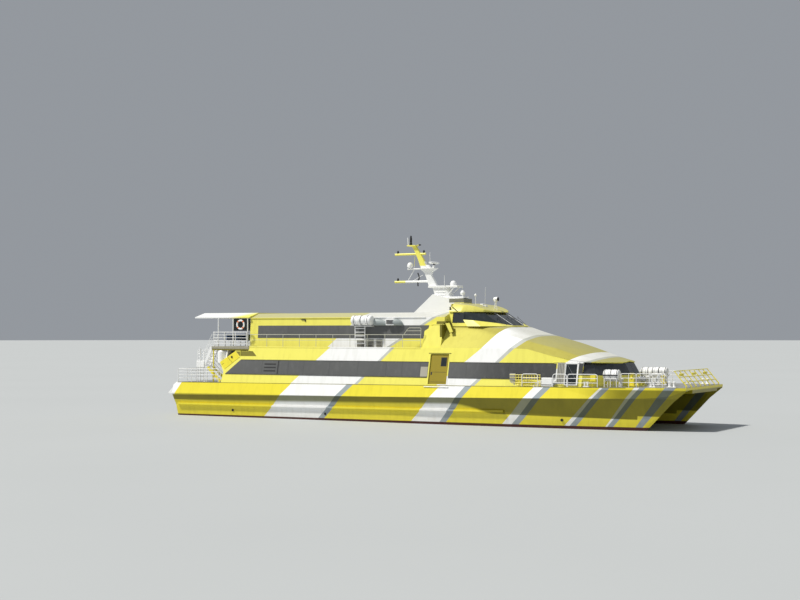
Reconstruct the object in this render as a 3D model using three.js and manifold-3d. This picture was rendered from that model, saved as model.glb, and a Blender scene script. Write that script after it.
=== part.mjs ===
// Fast passenger catamaran ferry, millimetres, +X to the bow, +Y to port, +Z up.
// The origin lies on the waterline, amidships, on the centreline.
import * as THREE from "three";
import { mergeVertices } from "three/addons/utils/BufferGeometryUtils.js";
import Module from "manifold-3d";

const wasm = await Module();
wasm.setup();

// Driving dimensions
const GAP = 0.3; // running gap between touching pieces
const BOW = 19950;
const STERN = -19950;
const TRANSOM = -19350;
const BEAM_HALF = 5050; // at the topside knuckle
const DECK_EDGE = 4800; // half breadth of the main deck
const TUNNEL_HALF = 2600; // inner side of each hull at the deck
const KEEL = -1600;
const DECK_MID = 2610; // main deck amidships
const SHEER = 0.0066; // rise of the deck for each unit forward
const STEM_Y = 3800; // centre plane of each hull
const SHOULDER_X = 8000; // the sides run parallel aft of here
const WALL = 160; // thickness of a house side with its lining
const SIDE_LEAN = 0.237; // inward lean of the main house side
const SIDE_TAPER = 0.13; // plan taper forward of the shoulder
const BAND_LOW = 3165; // main window band
const BAND_HIGH = 4175;
const UPPER_DECK = 5150;
const SLAB = 100;
const UPPER_AFT = -13250; // after end of the upper house
const HOOD_AFT = 2900; // where the forward hood begins
const HOOD_TOP = 6600;
const MAST_TOP = 13150;

const deckZ = (x) => DECK_MID + SHEER * x;
const taper = (x) => Math.max(0, x - SHOULDER_X) * SIDE_TAPER;
const sideY = (x, z) => DECK_EDGE - SIDE_LEAN * (z - DECK_MID) - taper(x);

// Solids from three.js geometry
function solidOf(geometry) {
  const bare = geometry.clone();
  bare.deleteAttribute("normal");
  bare.deleteAttribute("uv");
  const merged = mergeVertices(bare, 1e-3);
  const triVerts = [];
  for (let i = 0; i < merged.index.count; i += 3) {
    const [a, b, c] = merged.index.array.subarray(i, i + 3);
    if (a !== b && b !== c && c !== a) triVerts.push(a, b, c);
  }
  return new wasm.Manifold(
    new wasm.Mesh({
      numProp: 3,
      vertProperties: merged.attributes.position.array,
      triVerts: new Uint32Array(triVerts),
    }),
  );
}

const join = (...solids) => solids.flat().reduce((a, b) => a.add(b));
const cut = (body, ...tools) => tools.flat().reduce((a, b) => a.subtract(b), body);
const common = (...solids) => solids.reduce((a, b) => a.intersect(b));

function extrusion(points, depth) {
  const shape = new THREE.Shape(points.map(([u, v]) => new THREE.Vector2(u, v)));
  return new THREE.ExtrudeGeometry(shape, { depth, bevelEnabled: false });
}

// Prism of an outline in X and Z, from y0 to y1.
function prismY(points, y0, y1) {
  return solidOf(extrusion(points, y1 - y0).rotateX(Math.PI / 2).translate(0, y1, 0));
}

// Prism of an outline in Y and Z, from x0 to x1.
function prismX(points, x0, x1) {
  const turn = new THREE.Matrix4().makeBasis(
    new THREE.Vector3(0, 1, 0),
    new THREE.Vector3(0, 0, 1),
    new THREE.Vector3(1, 0, 0),
  );
  return solidOf(extrusion(points, x1 - x0).applyMatrix4(turn).translate(x0, 0, 0));
}

// Prism of an outline in X and Y, from z0 to z1.
function prismZ(points, z0, z1) {
  return solidOf(extrusion(points, z1 - z0).translate(0, 0, z0));
}

function box([x0, x1], [y0, y1], [z0, z1]) {
  const shape = new THREE.BoxGeometry(x1 - x0, y1 - y0, z1 - z0);
  return solidOf(shape.translate((x0 + x1) / 2, (y0 + y1) / 2, (z0 + z1) / 2));
}

// Round or square bar from p to q.
function bar(p, q, radius, sides = 4) {
  const from = new THREE.Vector3(...p);
  const along = new THREE.Vector3(...q).sub(from);
  const length = along.length();
  const turn = new THREE.Quaternion().setFromUnitVectors(
    new THREE.Vector3(0, 1, 0),
    along.clone().normalize(),
  );
  const shape = new THREE.CylinderGeometry(radius, radius, length, sides, 1);
  if (sides === 4) shape.rotateY(Math.PI / 4);
  shape.applyQuaternion(turn).translate(...from.addScaledVector(along, 0.5).toArray());
  return solidOf(shape);
}

// Turned piece: profile of [radius, height] pairs about a line through the given point.
function turned(profile, [x, y, z], axis = "z", sides = 20) {
  const outline = profile.map(([r, h]) => new THREE.Vector2(r, h));
  const shape = new THREE.LatheGeometry(outline, sides);
  if (axis === "z") shape.rotateX(Math.PI / 2);
  if (axis === "x") shape.rotateZ(-Math.PI / 2);
  return solidOf(shape.translate(x, y, z));
}

// Skin through closed sections of equal length, each anticlockwise seen from the last one.
function loft(sections, across) {
  const count = sections[0].length;
  const index = [];
  for (let s = 0; s + 1 < sections.length; s++)
    for (let i = 0; i < count; i++) {
      const a = s * count + i;
      const b = s * count + ((i + 1) % count);
      index.push(a, b, b + count, a, b + count, a + count);
    }
  const flat = (section) => section.map((p) => new THREE.Vector2(p[across[0]], p[across[1]]));
  const cap = (section, base, outward) => {
    const outline = flat(section);
    for (const [i, j, k] of THREE.ShapeUtils.triangulateShape(outline, [])) {
      const area = THREE.ShapeUtils.area([outline[i], outline[j], outline[k]]);
      const ahead = area > 0 === outward;
      index.push(base + i, base + (ahead ? j : k), base + (ahead ? k : j));
    }
  };
  cap(sections[0], 0, false);
  cap(sections.at(-1), (sections.length - 1) * count, true);
  const shape = new THREE.BufferGeometry();
  shape.setAttribute("position", new THREE.Float32BufferAttribute(sections.flat(2), 3));
  shape.setIndex(index);
  return solidOf(shape);
}

const loftX = (sections) => loft(sections, [1, 2]);
const loftZ = (sections) => loft(sections, [0, 1]);

// Outline moved outwards by a distance, its edges staying parallel.
function grown(points, distance) {
  const sign = THREE.ShapeUtils.isClockWise(points.map(([u, v]) => ({ x: u, y: v }))) ? -1 : 1;
  const count = points.length;
  const edge = (i) => {
    const [[u0, v0], [u1, v1]] = [points[(i + count) % count], points[(i + 1) % count]];
    const length = Math.hypot(u1 - u0, v1 - v0);
    const normal = [(sign * (v1 - v0)) / length, (sign * (u0 - u1)) / length];
    return { normal, level: normal[0] * u0 + normal[1] * v0 + distance };
  };
  return points.map((_, i) => {
    const [a, b] = [edge(i - 1), edge(i)];
    const det = a.normal[0] * b.normal[1] - a.normal[1] * b.normal[0];
    return [
      (a.level * b.normal[1] - b.level * a.normal[1]) / det,
      (a.normal[0] * b.level - b.normal[0] * a.level) / det,
    ];
  });
}

const bothSides = (half) => [...half, ...half.map(([u, v]) => [u, -v]).reverse()];

// Materials by slot
const paint = (color, roughness = 0.45, metalness = 0) =>
  new THREE.MeshStandardMaterial({ color, roughness, metalness });
const MATERIALS = {
  yellow: paint(0xf0dd2c),
  white: paint(0xf2f3f2),
  grey: paint(0x9a9c98, 0.7),
  glass: paint(0x20282c, 0.1),
  metal: paint(0xa8abad, 0.35, 0.9),
  black: paint(0x1d1e20, 0.6),
};

const group = new THREE.Group();
const SIDES = { starboard: -1, port: 1 };

// Adds a solid as a node. A port piece is the starboard one mirrored.
function add(name, solid, slot, mirrored = false) {
  const mesh = solid.getMesh();
  const step = mesh.numProp;
  const position = new Float32Array(mesh.numVert * 3);
  const flip = mirrored ? -1 : 1;
  for (let i = 0; i < mesh.numVert; i++) {
    position[3 * i] = mesh.vertProperties[step * i];
    position[3 * i + 1] = flip * mesh.vertProperties[step * i + 1];
    position[3 * i + 2] = mesh.vertProperties[step * i + 2];
  }
  const index = Array.from(mesh.triVerts);
  const shape = new THREE.BufferGeometry();
  shape.setAttribute("position", new THREE.BufferAttribute(position, 3));
  shape.setIndex(mirrored ? index.reverse() : index);
  const node = new THREE.Mesh(shape, MATERIALS[slot]);
  node.name = name;
  group.add(node);
  return node;
}

// Adds the starboard solid and its mirror image.
function addPair(name, solid, slot) {
  return Object.entries(SIDES).map(([side, sign]) => {
    const node = add(`${name}_${side}`, solid, slot, sign > 0);
    node.userData.side = sign;
    return node;
  });
}

// Starboard hull: half breadths and heights of its lines at each station
// x, keel z, outer chine y z, inner chine y, strake line y z, knuckle y z, deck edge y,
// haunch y z, tunnel roof z
const HULL = [
  [TRANSOM, -1000, 4520, -560, 2880, 4700, 820, BEAM_HALF, 1660, DECK_EDGE, 2740, 1100, 1500],
  [-12000, KEEL + 100, 4560, -600, 2880, 4700, 840, BEAM_HALF, 1710, DECK_EDGE, 2740, 1100, 1500],
  [0, KEEL, 4600, -620, 2900, 4700, 900, BEAM_HALF, 1790, DECK_EDGE, 2740, 1100, 1500],
  [SHOULDER_X, KEEL, 4500, -600, 2980, 4680, 960, BEAM_HALF, 1900, DECK_EDGE, 2760, 1100, 1500],
  [11500, KEEL, 4300, -520, 3200, 4540, 870, 4960, 1970, 4730, 2900, 1150, 1520],
  [14500, -1500, 4080, -400, 3460, 4280, 720, 4740, 2015, 4600, 3200, 1350, 1780],
  [16400, -1080, 3930, -250, 3660, 4060, 680, 4500, 2040, 4420, 3500, 1700, 2080],
  [17350, 0, 3870, 240, 3730, 3980, 780, 4370, 2060, 4310, 3620, 1950, 2200],
  [18200, 880, 3850, 1030, 3755, 3920, 1260, 4230, 2120, 4190, 3660, 2080, 2280],
  [19100, 1820, 3840, 1900, 3770, 3880, 1990, 4040, 2240, 4060, 3680, 2180, 2330],
  [BOW, 2520, 3830, 2545, 3780, 3850, 2570, 3870, 2600, 3900, 3720, 2560, 2600],
];

// The hull table read at any x
function hullRow(x) {
  const n = HULL.findIndex((_, i) => x <= HULL[i + 1][0]);
  const [a, b] = [HULL[n], HULL[n + 1]];
  return a.map((v, k) => v + ((b[k] - v) * (x - a[0])) / (b[0] - a[0]));
}

function hullSection(row) {
  const [x, keel, ocY, ocZ, icY, stY, stZ, knY, knZ, edY, haY, haZ, roof] = row;
  const deck = deckZ(x);
  const lines = [
    [STEM_Y, keel],
    [icY, ocZ],
    [haY, haZ],
    [TUNNEL_HALF, roof],
    [TUNNEL_HALF, deck],
    [edY, deck],
    [knY, knZ],
    [stY, stZ],
    [ocY, ocZ],
  ];
  return lines.map(([y, z]) => [x, -y, z]);
}

// The transom leans forward below the knuckle, and its top corner slopes up to the deck.
// Under water it is cut back flat behind the jet.
const JET = { y: -3700, z: -520, foot: -18900, end: -19030, ball: 270, swing: 263, hinge: 250 };
function hullBody() {
  const sections = HULL.map(hullSection);
  const rake = 0.15; // how far the transom moves forward for each unit down
  for (const point of sections[0]) point[0] += Math.max(0, 1660 - point[2]) * rake;
  const corner = prismY([[-19500, 2112], [-19000, 2607], [-19500, 2800]], -6000, 6000);
  const seat = box([-20000, JET.foot + GAP], [JET.y - 480, JET.y + 480], [-2000, JET.z + 480]);
  return cut(loftX(sections), corner, seat);
}

addPair("hull", hullBody(), "yellow");

// The bridge deck spans the tunnel and carries the foredeck out to the stems.
const BRIDGE = [
  [TRANSOM, 1500],
  [11500, 1520],
  [14500, 1780],
  [16400, 2080],
  [18200, 2280],
  [BOW, 2360],
  [BOW, deckZ(BOW)],
  [-19120, deckZ(-19120)],
  [TRANSOM, 2258],
];
add("bridge_deck", prismY(BRIDGE, -TUNNEL_HALF + GAP, TUNNEL_HALF - GAP), "yellow");

// The transom fairing slopes from the deck to a lip over the jets.
const FAIRING = [[STERN, 1600], [TRANSOM - GAP, 1600], [TRANSOM - GAP, 2258], [STERN, 1690]];
add("transom_fairing", prismY(FAIRING, -4700, 4700), "white");

// Rubbing strakes on the parallel hull sides, below the knuckle
const STRAKE = { drop: 120, out: 150, stations: [-19000, -12000, 0, 7900], seat: 0.5 };
function strake() {
  const sections = STRAKE.stations.map((at) => {
    const [, , , , , stY, stZ] = hullRow(at);
    const [out, root] = [stY + STRAKE.out, stY - 120];
    const lines = [[root, stZ + 120], [out, stZ + 125], [out, stZ + 5], [root, stZ - STRAKE.drop]];
    return lines.map(([y, z]) => [at, -y, z]);
  });
  return cut(loftX(sections), hullBody());
}
for (const node of addPair("strake", strake(), "yellow"))
  node.position.y = Math.sign(node.userData.side) * STRAKE.seat;

// Pieces of the main house side: each outline in X and Z is laid on the leaning wall between
// two depths, measured inwards from its outer face. No outline crosses the shoulder.
function onSide(outlines, outer, inner) {
  return join(
    outlines.map((outline) => {
      const flat = extrusion(outline, inner - outer).rotateX(Math.PI / 2).translate(0, inner, 0);
      const place = flat.getAttribute("position");
      for (let i = 0; i < place.count; i++) {
        const [x, depth, z] = [place.getX(i), place.getY(i), place.getZ(i)];
        place.setY(i, depth - sideY(x, z));
      }
      return solidOf(flat);
    }),
  );
}
const rect = (x0, x1, z0, z1) => [[x0, z0], [x1, z0], [x1, z1], [x0, z1]];

const HOUSE = { foot: -15000, bandAft: -14780, roofAft: -12850, fore: 13100, high: UPPER_DECK - SLAB };
const UPPER_STEP = { low: 4860, aft: -16300, step: -12950 }; // where the upper deck is thicker
const PORT_INSET = 80; // the band covers the edges of the openings behind it
const MAIN_DOOR = { aft: 2250, fore: 3650, low: 2700, high: 4720 };
const FORE_DOOR = { aft: 12000, fore: 12800, low: 2850, high: 4210 };
const TRACK = { aft: 11150, fore: 12900, low: [2790, 2820], high: [4240, 4270], depth: 24 };
const DOOR_CLEAR = { edge: 12, hinge: 15, head: 26, skin: 60, leaf: 50 };

// Lower edge of the forward hood, ahead of the shoulder
const HOOD_EDGE = [[8500, UPPER_DECK], [9300, UPPER_DECK - 60], [10900, 4680], [12100, 4440], [13100, 4310]];

// The house side ends aft in a slanted wing, parallel to the end of the window band, and
// forward under the falling edge of the hood. Between the wing and the slab it is let in.
const WING = [[-14900, 3300], [-15350, 4000], [-14100, 4790]];
const HOLLOW = [[-13650, 4900], [-12500, 4800], [-12120, 4450], [-13560, 4450]];
function mainSide() {
  const { foot, roofAft, fore, high } = HOUSE;
  const aftPart = [
    [foot, deckZ(foot) + GAP], [SHOULDER_X, deckZ(SHOULDER_X) + GAP], [SHOULDER_X, UPPER_DECK],
    [HOOD_AFT, UPPER_DECK], [HOOD_AFT, high], [roofAft, high], [roofAft - 60, UPPER_STEP.low - 20], [WING[2][0], UPPER_STEP.low - 20],
    ...[...WING].reverse(),
  ];
  const forePart = [
    [SHOULDER_X, deckZ(SHOULDER_X) + GAP], [fore, deckZ(fore) + GAP],
    ...[...HOOD_EDGE].reverse(), [SHOULDER_X, UPPER_DECK],
  ];
  const bays = [[4000, 5800], [6000, 7900], [8100, 9600], [9800, 11200]];
  for (let x = -13000; x < MAIN_DOOR.aft - 2000; x += 2500) bays.push([x, x + 2300]);
  const ports = bays.map(([x0, x1]) => rect(x0, x1, BAND_LOW + PORT_INSET, BAND_HIGH - PORT_INSET));
  const doorway = ({ aft, fore: front, low, high: top }) => rect(aft, front, low, top);
  const tracks = [TRACK.low, TRACK.high].map(([z0, z1]) => rect(TRACK.aft, TRACK.fore, z0, z1));
  return cut(
    join(onSide([aftPart, forePart], 0, WALL), onSide(tracks, -TRACK.depth, 10)),
    onSide([...ports, doorway(MAIN_DOOR), doorway(FORE_DOOR)], -200, WALL + 200),
    onSide([HOLLOW], -200, WALL - 50),
  );
}
addPair("main_side", mainSide(), "yellow");

// Bonded window bands lie on the house side.
const PANE = 14;
const BAND_TOP_AFT = -13500;
const BAND_FORE = 11350;
const bandGlass = {
  aft: [
    [
      [HOUSE.bandAft + 60, BAND_LOW], [MAIN_DOOR.aft - 60, BAND_LOW],
      [MAIN_DOOR.aft - 60, BAND_HIGH], [BAND_TOP_AFT, BAND_HIGH],
    ],
  ],
  fore: [
    rect(MAIN_DOOR.fore + 80, SHOULDER_X, BAND_LOW, BAND_HIGH),
    rect(SHOULDER_X, BAND_FORE, BAND_LOW, BAND_HIGH),
  ],
};
for (const [name, outlines] of Object.entries(bandGlass))
  addPair(`main_glass_${name}`, onSide(outlines, -PANE - GAP, -GAP), "glass");

// Doors hang on their forward edge, on barrels let into the jamb.
function sideDoor({ aft, fore, low, high }) {
  const { edge, hinge, head, skin, leaf } = DOOR_CLEAR;
  const axisX = fore - hinge;
  const at = (z) => [axisX, skin - sideY(axisX, z), z];
  const barrels = [low + 250, high - 450].map((z) => bar(at(z), at(z + 140), hinge - GAP, 12));
  return join(onSide([rect(aft + edge, axisX - 4, low + 8, high - head)], skin, skin + leaf), barrels);
}
addPair("side_door", sideDoor(MAIN_DOOR), "yellow");

// The forward door slides aft outside the wall, between two tracks.
function slidingDoor() {
  const { aft, fore } = FORE_DOOR;
  const { low, high, depth } = TRACK;
  return onSide([rect(aft - 40, fore + 40, low[0], high[1])], -depth - GAP - 40, -depth - GAP);
}
addPair("fore_door", slidingDoor(), "white");

// Upper deck slab, thicker where it overhangs the after deck
const UPPER_HALF = 4190;
const SLAB_UNDER = UPPER_DECK - SLAB + GAP;
const UPPER_SLAB = [
  [UPPER_STEP.aft, UPPER_STEP.low], [UPPER_STEP.step, UPPER_STEP.low], [UPPER_STEP.step + 50, SLAB_UNDER],
  [HOOD_AFT - GAP, SLAB_UNDER], [HOOD_AFT - GAP, UPPER_DECK], [UPPER_STEP.aft, UPPER_DECK],
];
add("upper_deck", prismY(UPPER_SLAB, -UPPER_HALF, UPPER_HALF), "grey");

// After bulkhead of the main house with its door
const AFT_DOOR = { x: -14900, hingeY: -900, width: 1000, low: 2560, high: 4560 };
function aftBulkhead() {
  const x = -14990;
  const half = (z) => sideY(x, z) - WALL - 0.5;
  const outline = bothSides([2520, UPPER_STEP.low - GAP].map((z) => [z, -half(z)])).map(([z, y]) => [y, z]);
  const { hingeY, width, low, high } = AFT_DOOR;
  const plate = prismX(outline, x, x + 100);
  return cut(plate, box([x - 50, x + 150], [hingeY - 15, hingeY + width + 12], [low, high]));
}
add("main_aft_bulkhead", aftBulkhead(), "white");
function aftDoor() {
  const { x, hingeY, width, low, high } = AFT_DOOR;
  const leaf = box([x - 90, x - 40], [hingeY + 4, hingeY + width], [low + 10, high - 12]);
  const barrels = [low + 250, high - 450].map((z) =>
    bar([x - 90, hingeY, z], [x - 90, hingeY, z + 140], DOOR_CLEAR.hinge - GAP, 12));
  return join(leaf, barrels);
}
add("main_aft_door", aftDoor(), "white");

// Upper house: a shell with a window band each side and an open door aft
const UPPER_HALF_SECTION = [[UPPER_DECK + GAP, -3650], [7250, -3500], [7580, -2500]];
const UPPER_SECTION = bothSides(UPPER_HALF_SECTION).map(([z, y]) => [y, z]);
const UPPER_BAND = { aft: -12550, fore: 1500, low: 5775, high: 6680 };
const UPPER_END = HOOD_AFT - GAP;
function upperHouse() {
  const open = [0, UPPER_SECTION.length - 1];
  const inner = grown(UPPER_SECTION, -110).map(([y, z], i) => [y, open.includes(i) ? UPPER_DECK - 50 : z]);
  const shell = cut(
    prismX(UPPER_SECTION, UPPER_AFT, UPPER_END),
    prismX(inner, UPPER_AFT + 110, UPPER_END - 110),
    box([UPPER_AFT - 50, UPPER_AFT + 150], [-1000, 1000], [UPPER_DECK - 50, 7150]),
  );
  const ports = [];
  for (let x = UPPER_BAND.aft + 150; x < UPPER_BAND.fore - 1500; x += 2200)
    ports.push(box([x, x + 2000], [-4000, 4000], [UPPER_BAND.low + 70, UPPER_BAND.high - 70]));
  return cut(shell, ports);
}
add("upper_house", upperHouse(), "yellow");

const upperY = (z) => 3650 - (150 * (z - UPPER_DECK)) / 2100;
function upperGlass() {
  const { aft, fore, low, high } = UPPER_BAND;
  const corners = [[low, GAP], [high, GAP], [high, PANE], [low, PANE]];
  const section = corners.map(([z, out]) => [-upperY(z) - out, z]);
  return prismX(section, aft, fore);
}
addPair("upper_glass", upperGlass(), "glass");

// Canopy over the upper after deck, in line with the upper house roof, on posts
function canopy() {
  const outline = bothSides([[7240, -3700], [7320, -3700], [7640, -2500]]).map(([z, y]) => [y, z]);
  const hollow = bothSides([[7100, -3600], [7245, -3500], [7560, -2450]]).map(([z, y]) => [y, z]);
  const roof = cut(prismX(outline, -18250, UPPER_AFT - GAP), prismX(hollow, -18200, UPPER_AFT - 60));
  const posts = [-16100, -14750, -13430].flatMap((x) =>
    [-3640, 3640].map((y) => bar([x, y, UPPER_DECK + GAP], [x, y, 7280], 45, 8)));
  return join(roof, posts);
}
add("canopy", canopy(), "white");

// Forward hood: x, edge y z, knee y z, crown half breadth and z
const HOOD = [
  [HOOD_AFT, 4198, UPPER_DECK, 3150, 6500, 2900, HOOD_TOP],
  [4200, 4198, UPPER_DECK, 3150, 6500, 2900, HOOD_TOP],
  [5600, 4198, UPPER_DECK, 3230, 6330, 2800, HOOD_TOP],
  [6800, 4198, UPPER_DECK, 3250, 6100, 2300, HOOD_TOP],
  [7700, 4198, UPPER_DECK, 3280, 5930, 2000, 6310],
  [8500, 4140, UPPER_DECK, 3300, 5740, 1900, 6080],
  [9300, 4040, UPPER_DECK - 60, 3300, 5540, 1800, 5880],
  [10900, 3940, 4680, 3300, 5170, 1700, 5450],
  [12100, 3860, 4440, 3200, 4780, 1600, 5080],
  [13100, 3760, 4310, 2800, 4540, 1300, 4740],
  [14000, 3000, 4270, 2100, 4380, 1000, 4470],
  [14600, 1700, 4240, 1200, 4285, 600, 4315],
  [14850, 700, 4215, 550, 4225, 300, 4240],
];
const hoodSection = ([x, edY, edZ, knY, knZ, crY, crZ], lift) =>
  [[edY, edZ + lift], [knY, knZ], [crY, crZ]]
    .flatMap(([y, z]) => [[x, y, z]])
    .concat([[crY, crZ], [knY, knZ], [edY, edZ + lift]].map(([y, z]) => [x, -y, z]));
function hood() {
  const outer = loftX(HOOD.map((row) => hoodSection(row, GAP)));
  const inside = HOOD.filter(([x]) => x < 14500).map(([x, edY, edZ, knY, knZ, crY, crZ], i) =>
    hoodSection([i ? x : x + 110, edY - 110, edZ - 200, knY - 90, knZ - 100, crY - 40, crZ - 110], 0));
  return cut(outer, loftX(inside));
}
add("forward_hood", hood(), "yellow");

// Nose wall under the hood with its wrap-round glass, in plan from the side to the centreline
const NOSE = [[12400, -4494], [13900, -3450], [14800, -2200], [15250, -900]];
const NOSE_AFT = 13110;
const noseAt = (inset, z) => grown(bothSides(NOSE), -inset).map(([x, y]) => [x, y, z]);
function noseRing(low, high, lean, out, thick) {
  const outer = loftZ([noseAt(-out, low), noseAt(lean - out, high)]);
  const inner = loftZ([noseAt(thick - out, low - 20), noseAt(lean + thick - out, high + 20)]);
  const rear = box([12000, NOSE_AFT], [-5000, 5000], [low - 100, high + 100]);
  return cut(outer, inner, rear);
}
const NOSE_SILL = 3420;
add("nose_wall", noseRing(deckZ(NOSE.at(-1)[0]) + GAP, NOSE_SILL, 0, 0, 120), "yellow");
add("nose_glass", noseRing(NOSE_SILL + GAP, 4205, 430, 0, 40), "glass");

// Wheelhouse: leaning walls on a level plan, with a thick roof
const WHEELHOUSE = { aft: HOOD_AFT, low: HOOD_TOP + GAP, high: 7580, lean: 230, rake: 1350 };
const WHEEL_PLAN = bothSides([[2600, -3050], [5400, -3050], [6550, -2050], [6900, -900]]);
const wheelAt = (grow, z) => {
  const { low, high, lean, rake } = WHEELHOUSE;
  const t = (z - low) / (high - low);
  return grown(WHEEL_PLAN, grow - lean * t).map(([x, y]) => [x - rake * t, y, z]);
};
function wheelShell(low, high, outer, inner) {
  const body = loftZ([wheelAt(outer, low), wheelAt(outer, high)]);
  const room = loftZ([wheelAt(inner, low - 30), wheelAt(inner, high + 30)]);
  return [body, room];
}
function wheelhouse() {
  const { aft, low, high } = WHEELHOUSE;
  const [body, room] = wheelShell(low, high, 0, -90);
  const back = box([0, aft], [-4000, 4000], [low - 100, high + 100]);
  const roomOnly = cut(room, box([0, aft + 90], [-4000, 4000], [low - 100, high + 100]));
  const sill = low + 250;
  const bays = [[-2650, -2000], [-1800, -950], [-800, 800], [950, 1800], [2000, 2650]];
  const ports = bays.map((span) => box([4250, 9000], span, [sill, high - 70]));
  ports.push(box([3200, 3950], [-4000, 4000], [sill, high - 70]));
  return cut(body, back, roomOnly, ports);
}
add("wheelhouse", wheelhouse(), "yellow");
function wheelGlass() {
  const { aft, low, high } = WHEELHOUSE;
  const [body, room] = wheelShell(low + 200, high - 30, 18, 0.5);
  return cut(body, room, box([0, aft + 200], [-4000, 4000], [low, high]));
}
add("wheelhouse_glass", wheelGlass(), "glass");
function wheelRoof() {
  const z = WHEELHOUSE.high + GAP;
  const plan = wheelAt(60, WHEELHOUSE.high);
  const side = [
    [2950, z], [5500, z], [5480, 7610], [5050, 7690], [4600, 7850], [4100, 8000], [2950, 8190],
  ];
  const cross = [[-3000, z], [3000, z], [2750, 7800], [2100, 8260], [-2100, 8260], [-2750, 7800]];
  return common(prismZ(plan, z, 8300), prismY(side, -3100, 3100), prismX(cross, 0, 9000));
}
// Searchlight on its pedestal, on the roof
const LAMP = { x: 5000, foot: 7620, axis: 8450, half: 170, radius: 150 };
function searchlight() {
  const { x, foot, axis, half, radius } = LAMP;
  const pedestal = bar([x, 0, foot], [x, 0, axis], 60, 8);
  return join(pedestal, bar([x - half, 0, axis], [x + half, 0, axis], radius, 14));
}
add("wheelhouse_roof", join(wheelRoof(), searchlight()), "yellow");

// Vent houses at the forward ends of the side walkways, their outer faces leaning in
const VENT = { aft: 1500, shoulder: 2150, low: 6290, high: 6700 };
function ventHouse() {
  const foot = UPPER_DECK + GAP;
  const front = HOOD_AFT - GAP;
  const { aft, shoulder, low, high } = VENT;
  const side = [[aft, foot], [front, foot], [front, high], [shoulder, high], [aft, low]];
  const cross = [[-4150, foot], [-3651, foot], [-3545, high], [-3700, high]];
  return common(prismY(side, -4300, -3400), prismX(cross, aft - 100, front + 100));
}
addPair("vent_house", ventHouse(), "yellow");

// Mast: fairing, raked column with platforms and arms, and the turning scanner
const MAST_FOOT = 7580 + GAP;
const MAST_HALF = 650;
const MAST_SIDE = [[-1100, MAST_FOOT], [UPPER_END, MAST_FOOT], [UPPER_END, 8560], [1640, 8620], [440, 8900]];
add("mast_fairing", prismY(MAST_SIDE, -MAST_HALF, MAST_HALF), "white");
const COLUMN = [
  [[450, 8625], [1450, 8625], [1330, 9320], [60, 9320]],
  [[-150, 9400], [2150, 9400], [2150, 9500], [-150, 9500]],
  [[60, 9300], [1330, 9300], [1330, 9420], [60, 9420]],
  [
    [-150, 9480], [330, 9480], [-80, 10300], [400, 10690], [400, 10760], [-850, 10760],
    [-850, 10690], [-450, 10300],
  ],
  [[-800, 10740], [-300, 10740], [-1200, 12380], [-1570, 12380]],
  [[-1980, 12360], [-1180, 12360], [-1180, 12500], [-1980, 12500]],
  [[-2990, 11740], [-470, 11740], [-470, 11880], [-2990, 11880]],
  [[-3010, 9760], [-100, 9760], [-100, 9900], [-3010, 9900]],
  [[800, 8640], [2650, 8640], [2650, 8740], [800, 8740]],
];
const COLUMN_HALF = [360, 560, 360, 160, 140, 260, 70, 80, 500];
function mastColumn() {
  const lamps = bar([-1790, 0, 12480], [-1790, 0, MAST_TOP], 90, 10);
  const bracket = bar([-1700, 0, 10720], [-800, 0, 10720], 60, 4);
  return join(
    COLUMN.map((outline, i) => prismY(outline, -COLUMN_HALF[i], COLUMN_HALF[i])),
    lamps,
    bracket,
    bar([200, 0, 10740], [200, 0, 10990], 130, 12),
    turned([[0, 0], [240, 0], [240, 240], [150, 400], [0, 460]], [-1760, 0, 10740], "z", 16),
    turned([[0, 0], [220, 0], [220, 200], [120, 320], [0, 360]], [1760, 0, 9490], "z", 16),
  );
}
const FAIRING_TOP = [
  [-1200, 7000], [3000, 7000], [3000, 8621], [1640, 8620 + GAP], [440, 8900 + GAP], [-1200, 8900],
];
add("mast_column", cut(mastColumn(), prismY(FAIRING_TOP, -MAST_HALF, MAST_HALF)), "white");

// Scanner arm on the pedestal's shaft; it clears the mast behind it all the way round.
const SCANNER = { x: 200, foot: 10990 + GAP, low: 11060, high: 11200, deep: 150, half: 600 };
function scanner() {
  const { x, foot, low, high, deep, half } = SCANNER;
  const arm = box([x - deep, x + deep], [-half, half], [low, high]);
  return join(arm, bar([x, 0, foot], [x, 0, low + 20], 90, 12));
}
add("radar_scanner", scanner(), "black");

// Rails: posts and bars along a path of [x, y, foot z], starboard side
function rail(path, height, levels, spacing, radius = 24) {
  const pieces = [];
  path.slice(1).forEach((end, i) => {
    const start = path[i];
    const run = Math.hypot(...end.map((v, k) => v - start[k]));
    const bays = Math.max(1, Math.round(run / spacing));
    for (let n = i ? 1 : 0; n <= bays; n++) {
      const [x, y, z] = start.map((v, k) => v + ((end[k] - v) * n) / bays);
      pieces.push(bar([x, y, z], [x, y, z + height], radius));
    }
    const raised = ([x, y, z], level) => [x, y, z + level * height];
    for (const level of levels) pieces.push(bar(raised(start, level), raised(end, level), radius * 0.9));
  });
  return join(pieces);
}
const onDeck = (x, y) => [x, y, deckZ(x) + GAP];
const onUpper = (x, y) => [x, y, UPPER_DECK + GAP];
const AFT_LEVELS = [0.3, 0.55, 0.8, 1];
const UPPER_LEVELS = [0.3, 0.6, 1];
const PATHS = {
  walkway: [onUpper(-12800, -4150), onUpper(1400, -4150)],
  aft: [onDeck(-15300, -4700), onDeck(-19050, -4700), onDeck(-19050, -1400)],
  upperAft: [onUpper(-13150, -4150), onUpper(-16200, -4150)],
  side: [onDeck(9200, -4705), onDeck(11200, -4650), onDeck(13200, -4570)],
  upperStern: [onUpper(-16250, -3900), onUpper(-16250, 3900)],
};
addPair("walkway_rail", rail(PATHS.walkway, 880, [0.5, 1], 1490, 20), "white");
addPair("aft_rail", rail(PATHS.aft, 980, AFT_LEVELS, 1250), "white");
addPair("upper_aft_rail", rail(PATHS.upperAft, 1050, UPPER_LEVELS, 1000), "white");
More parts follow.
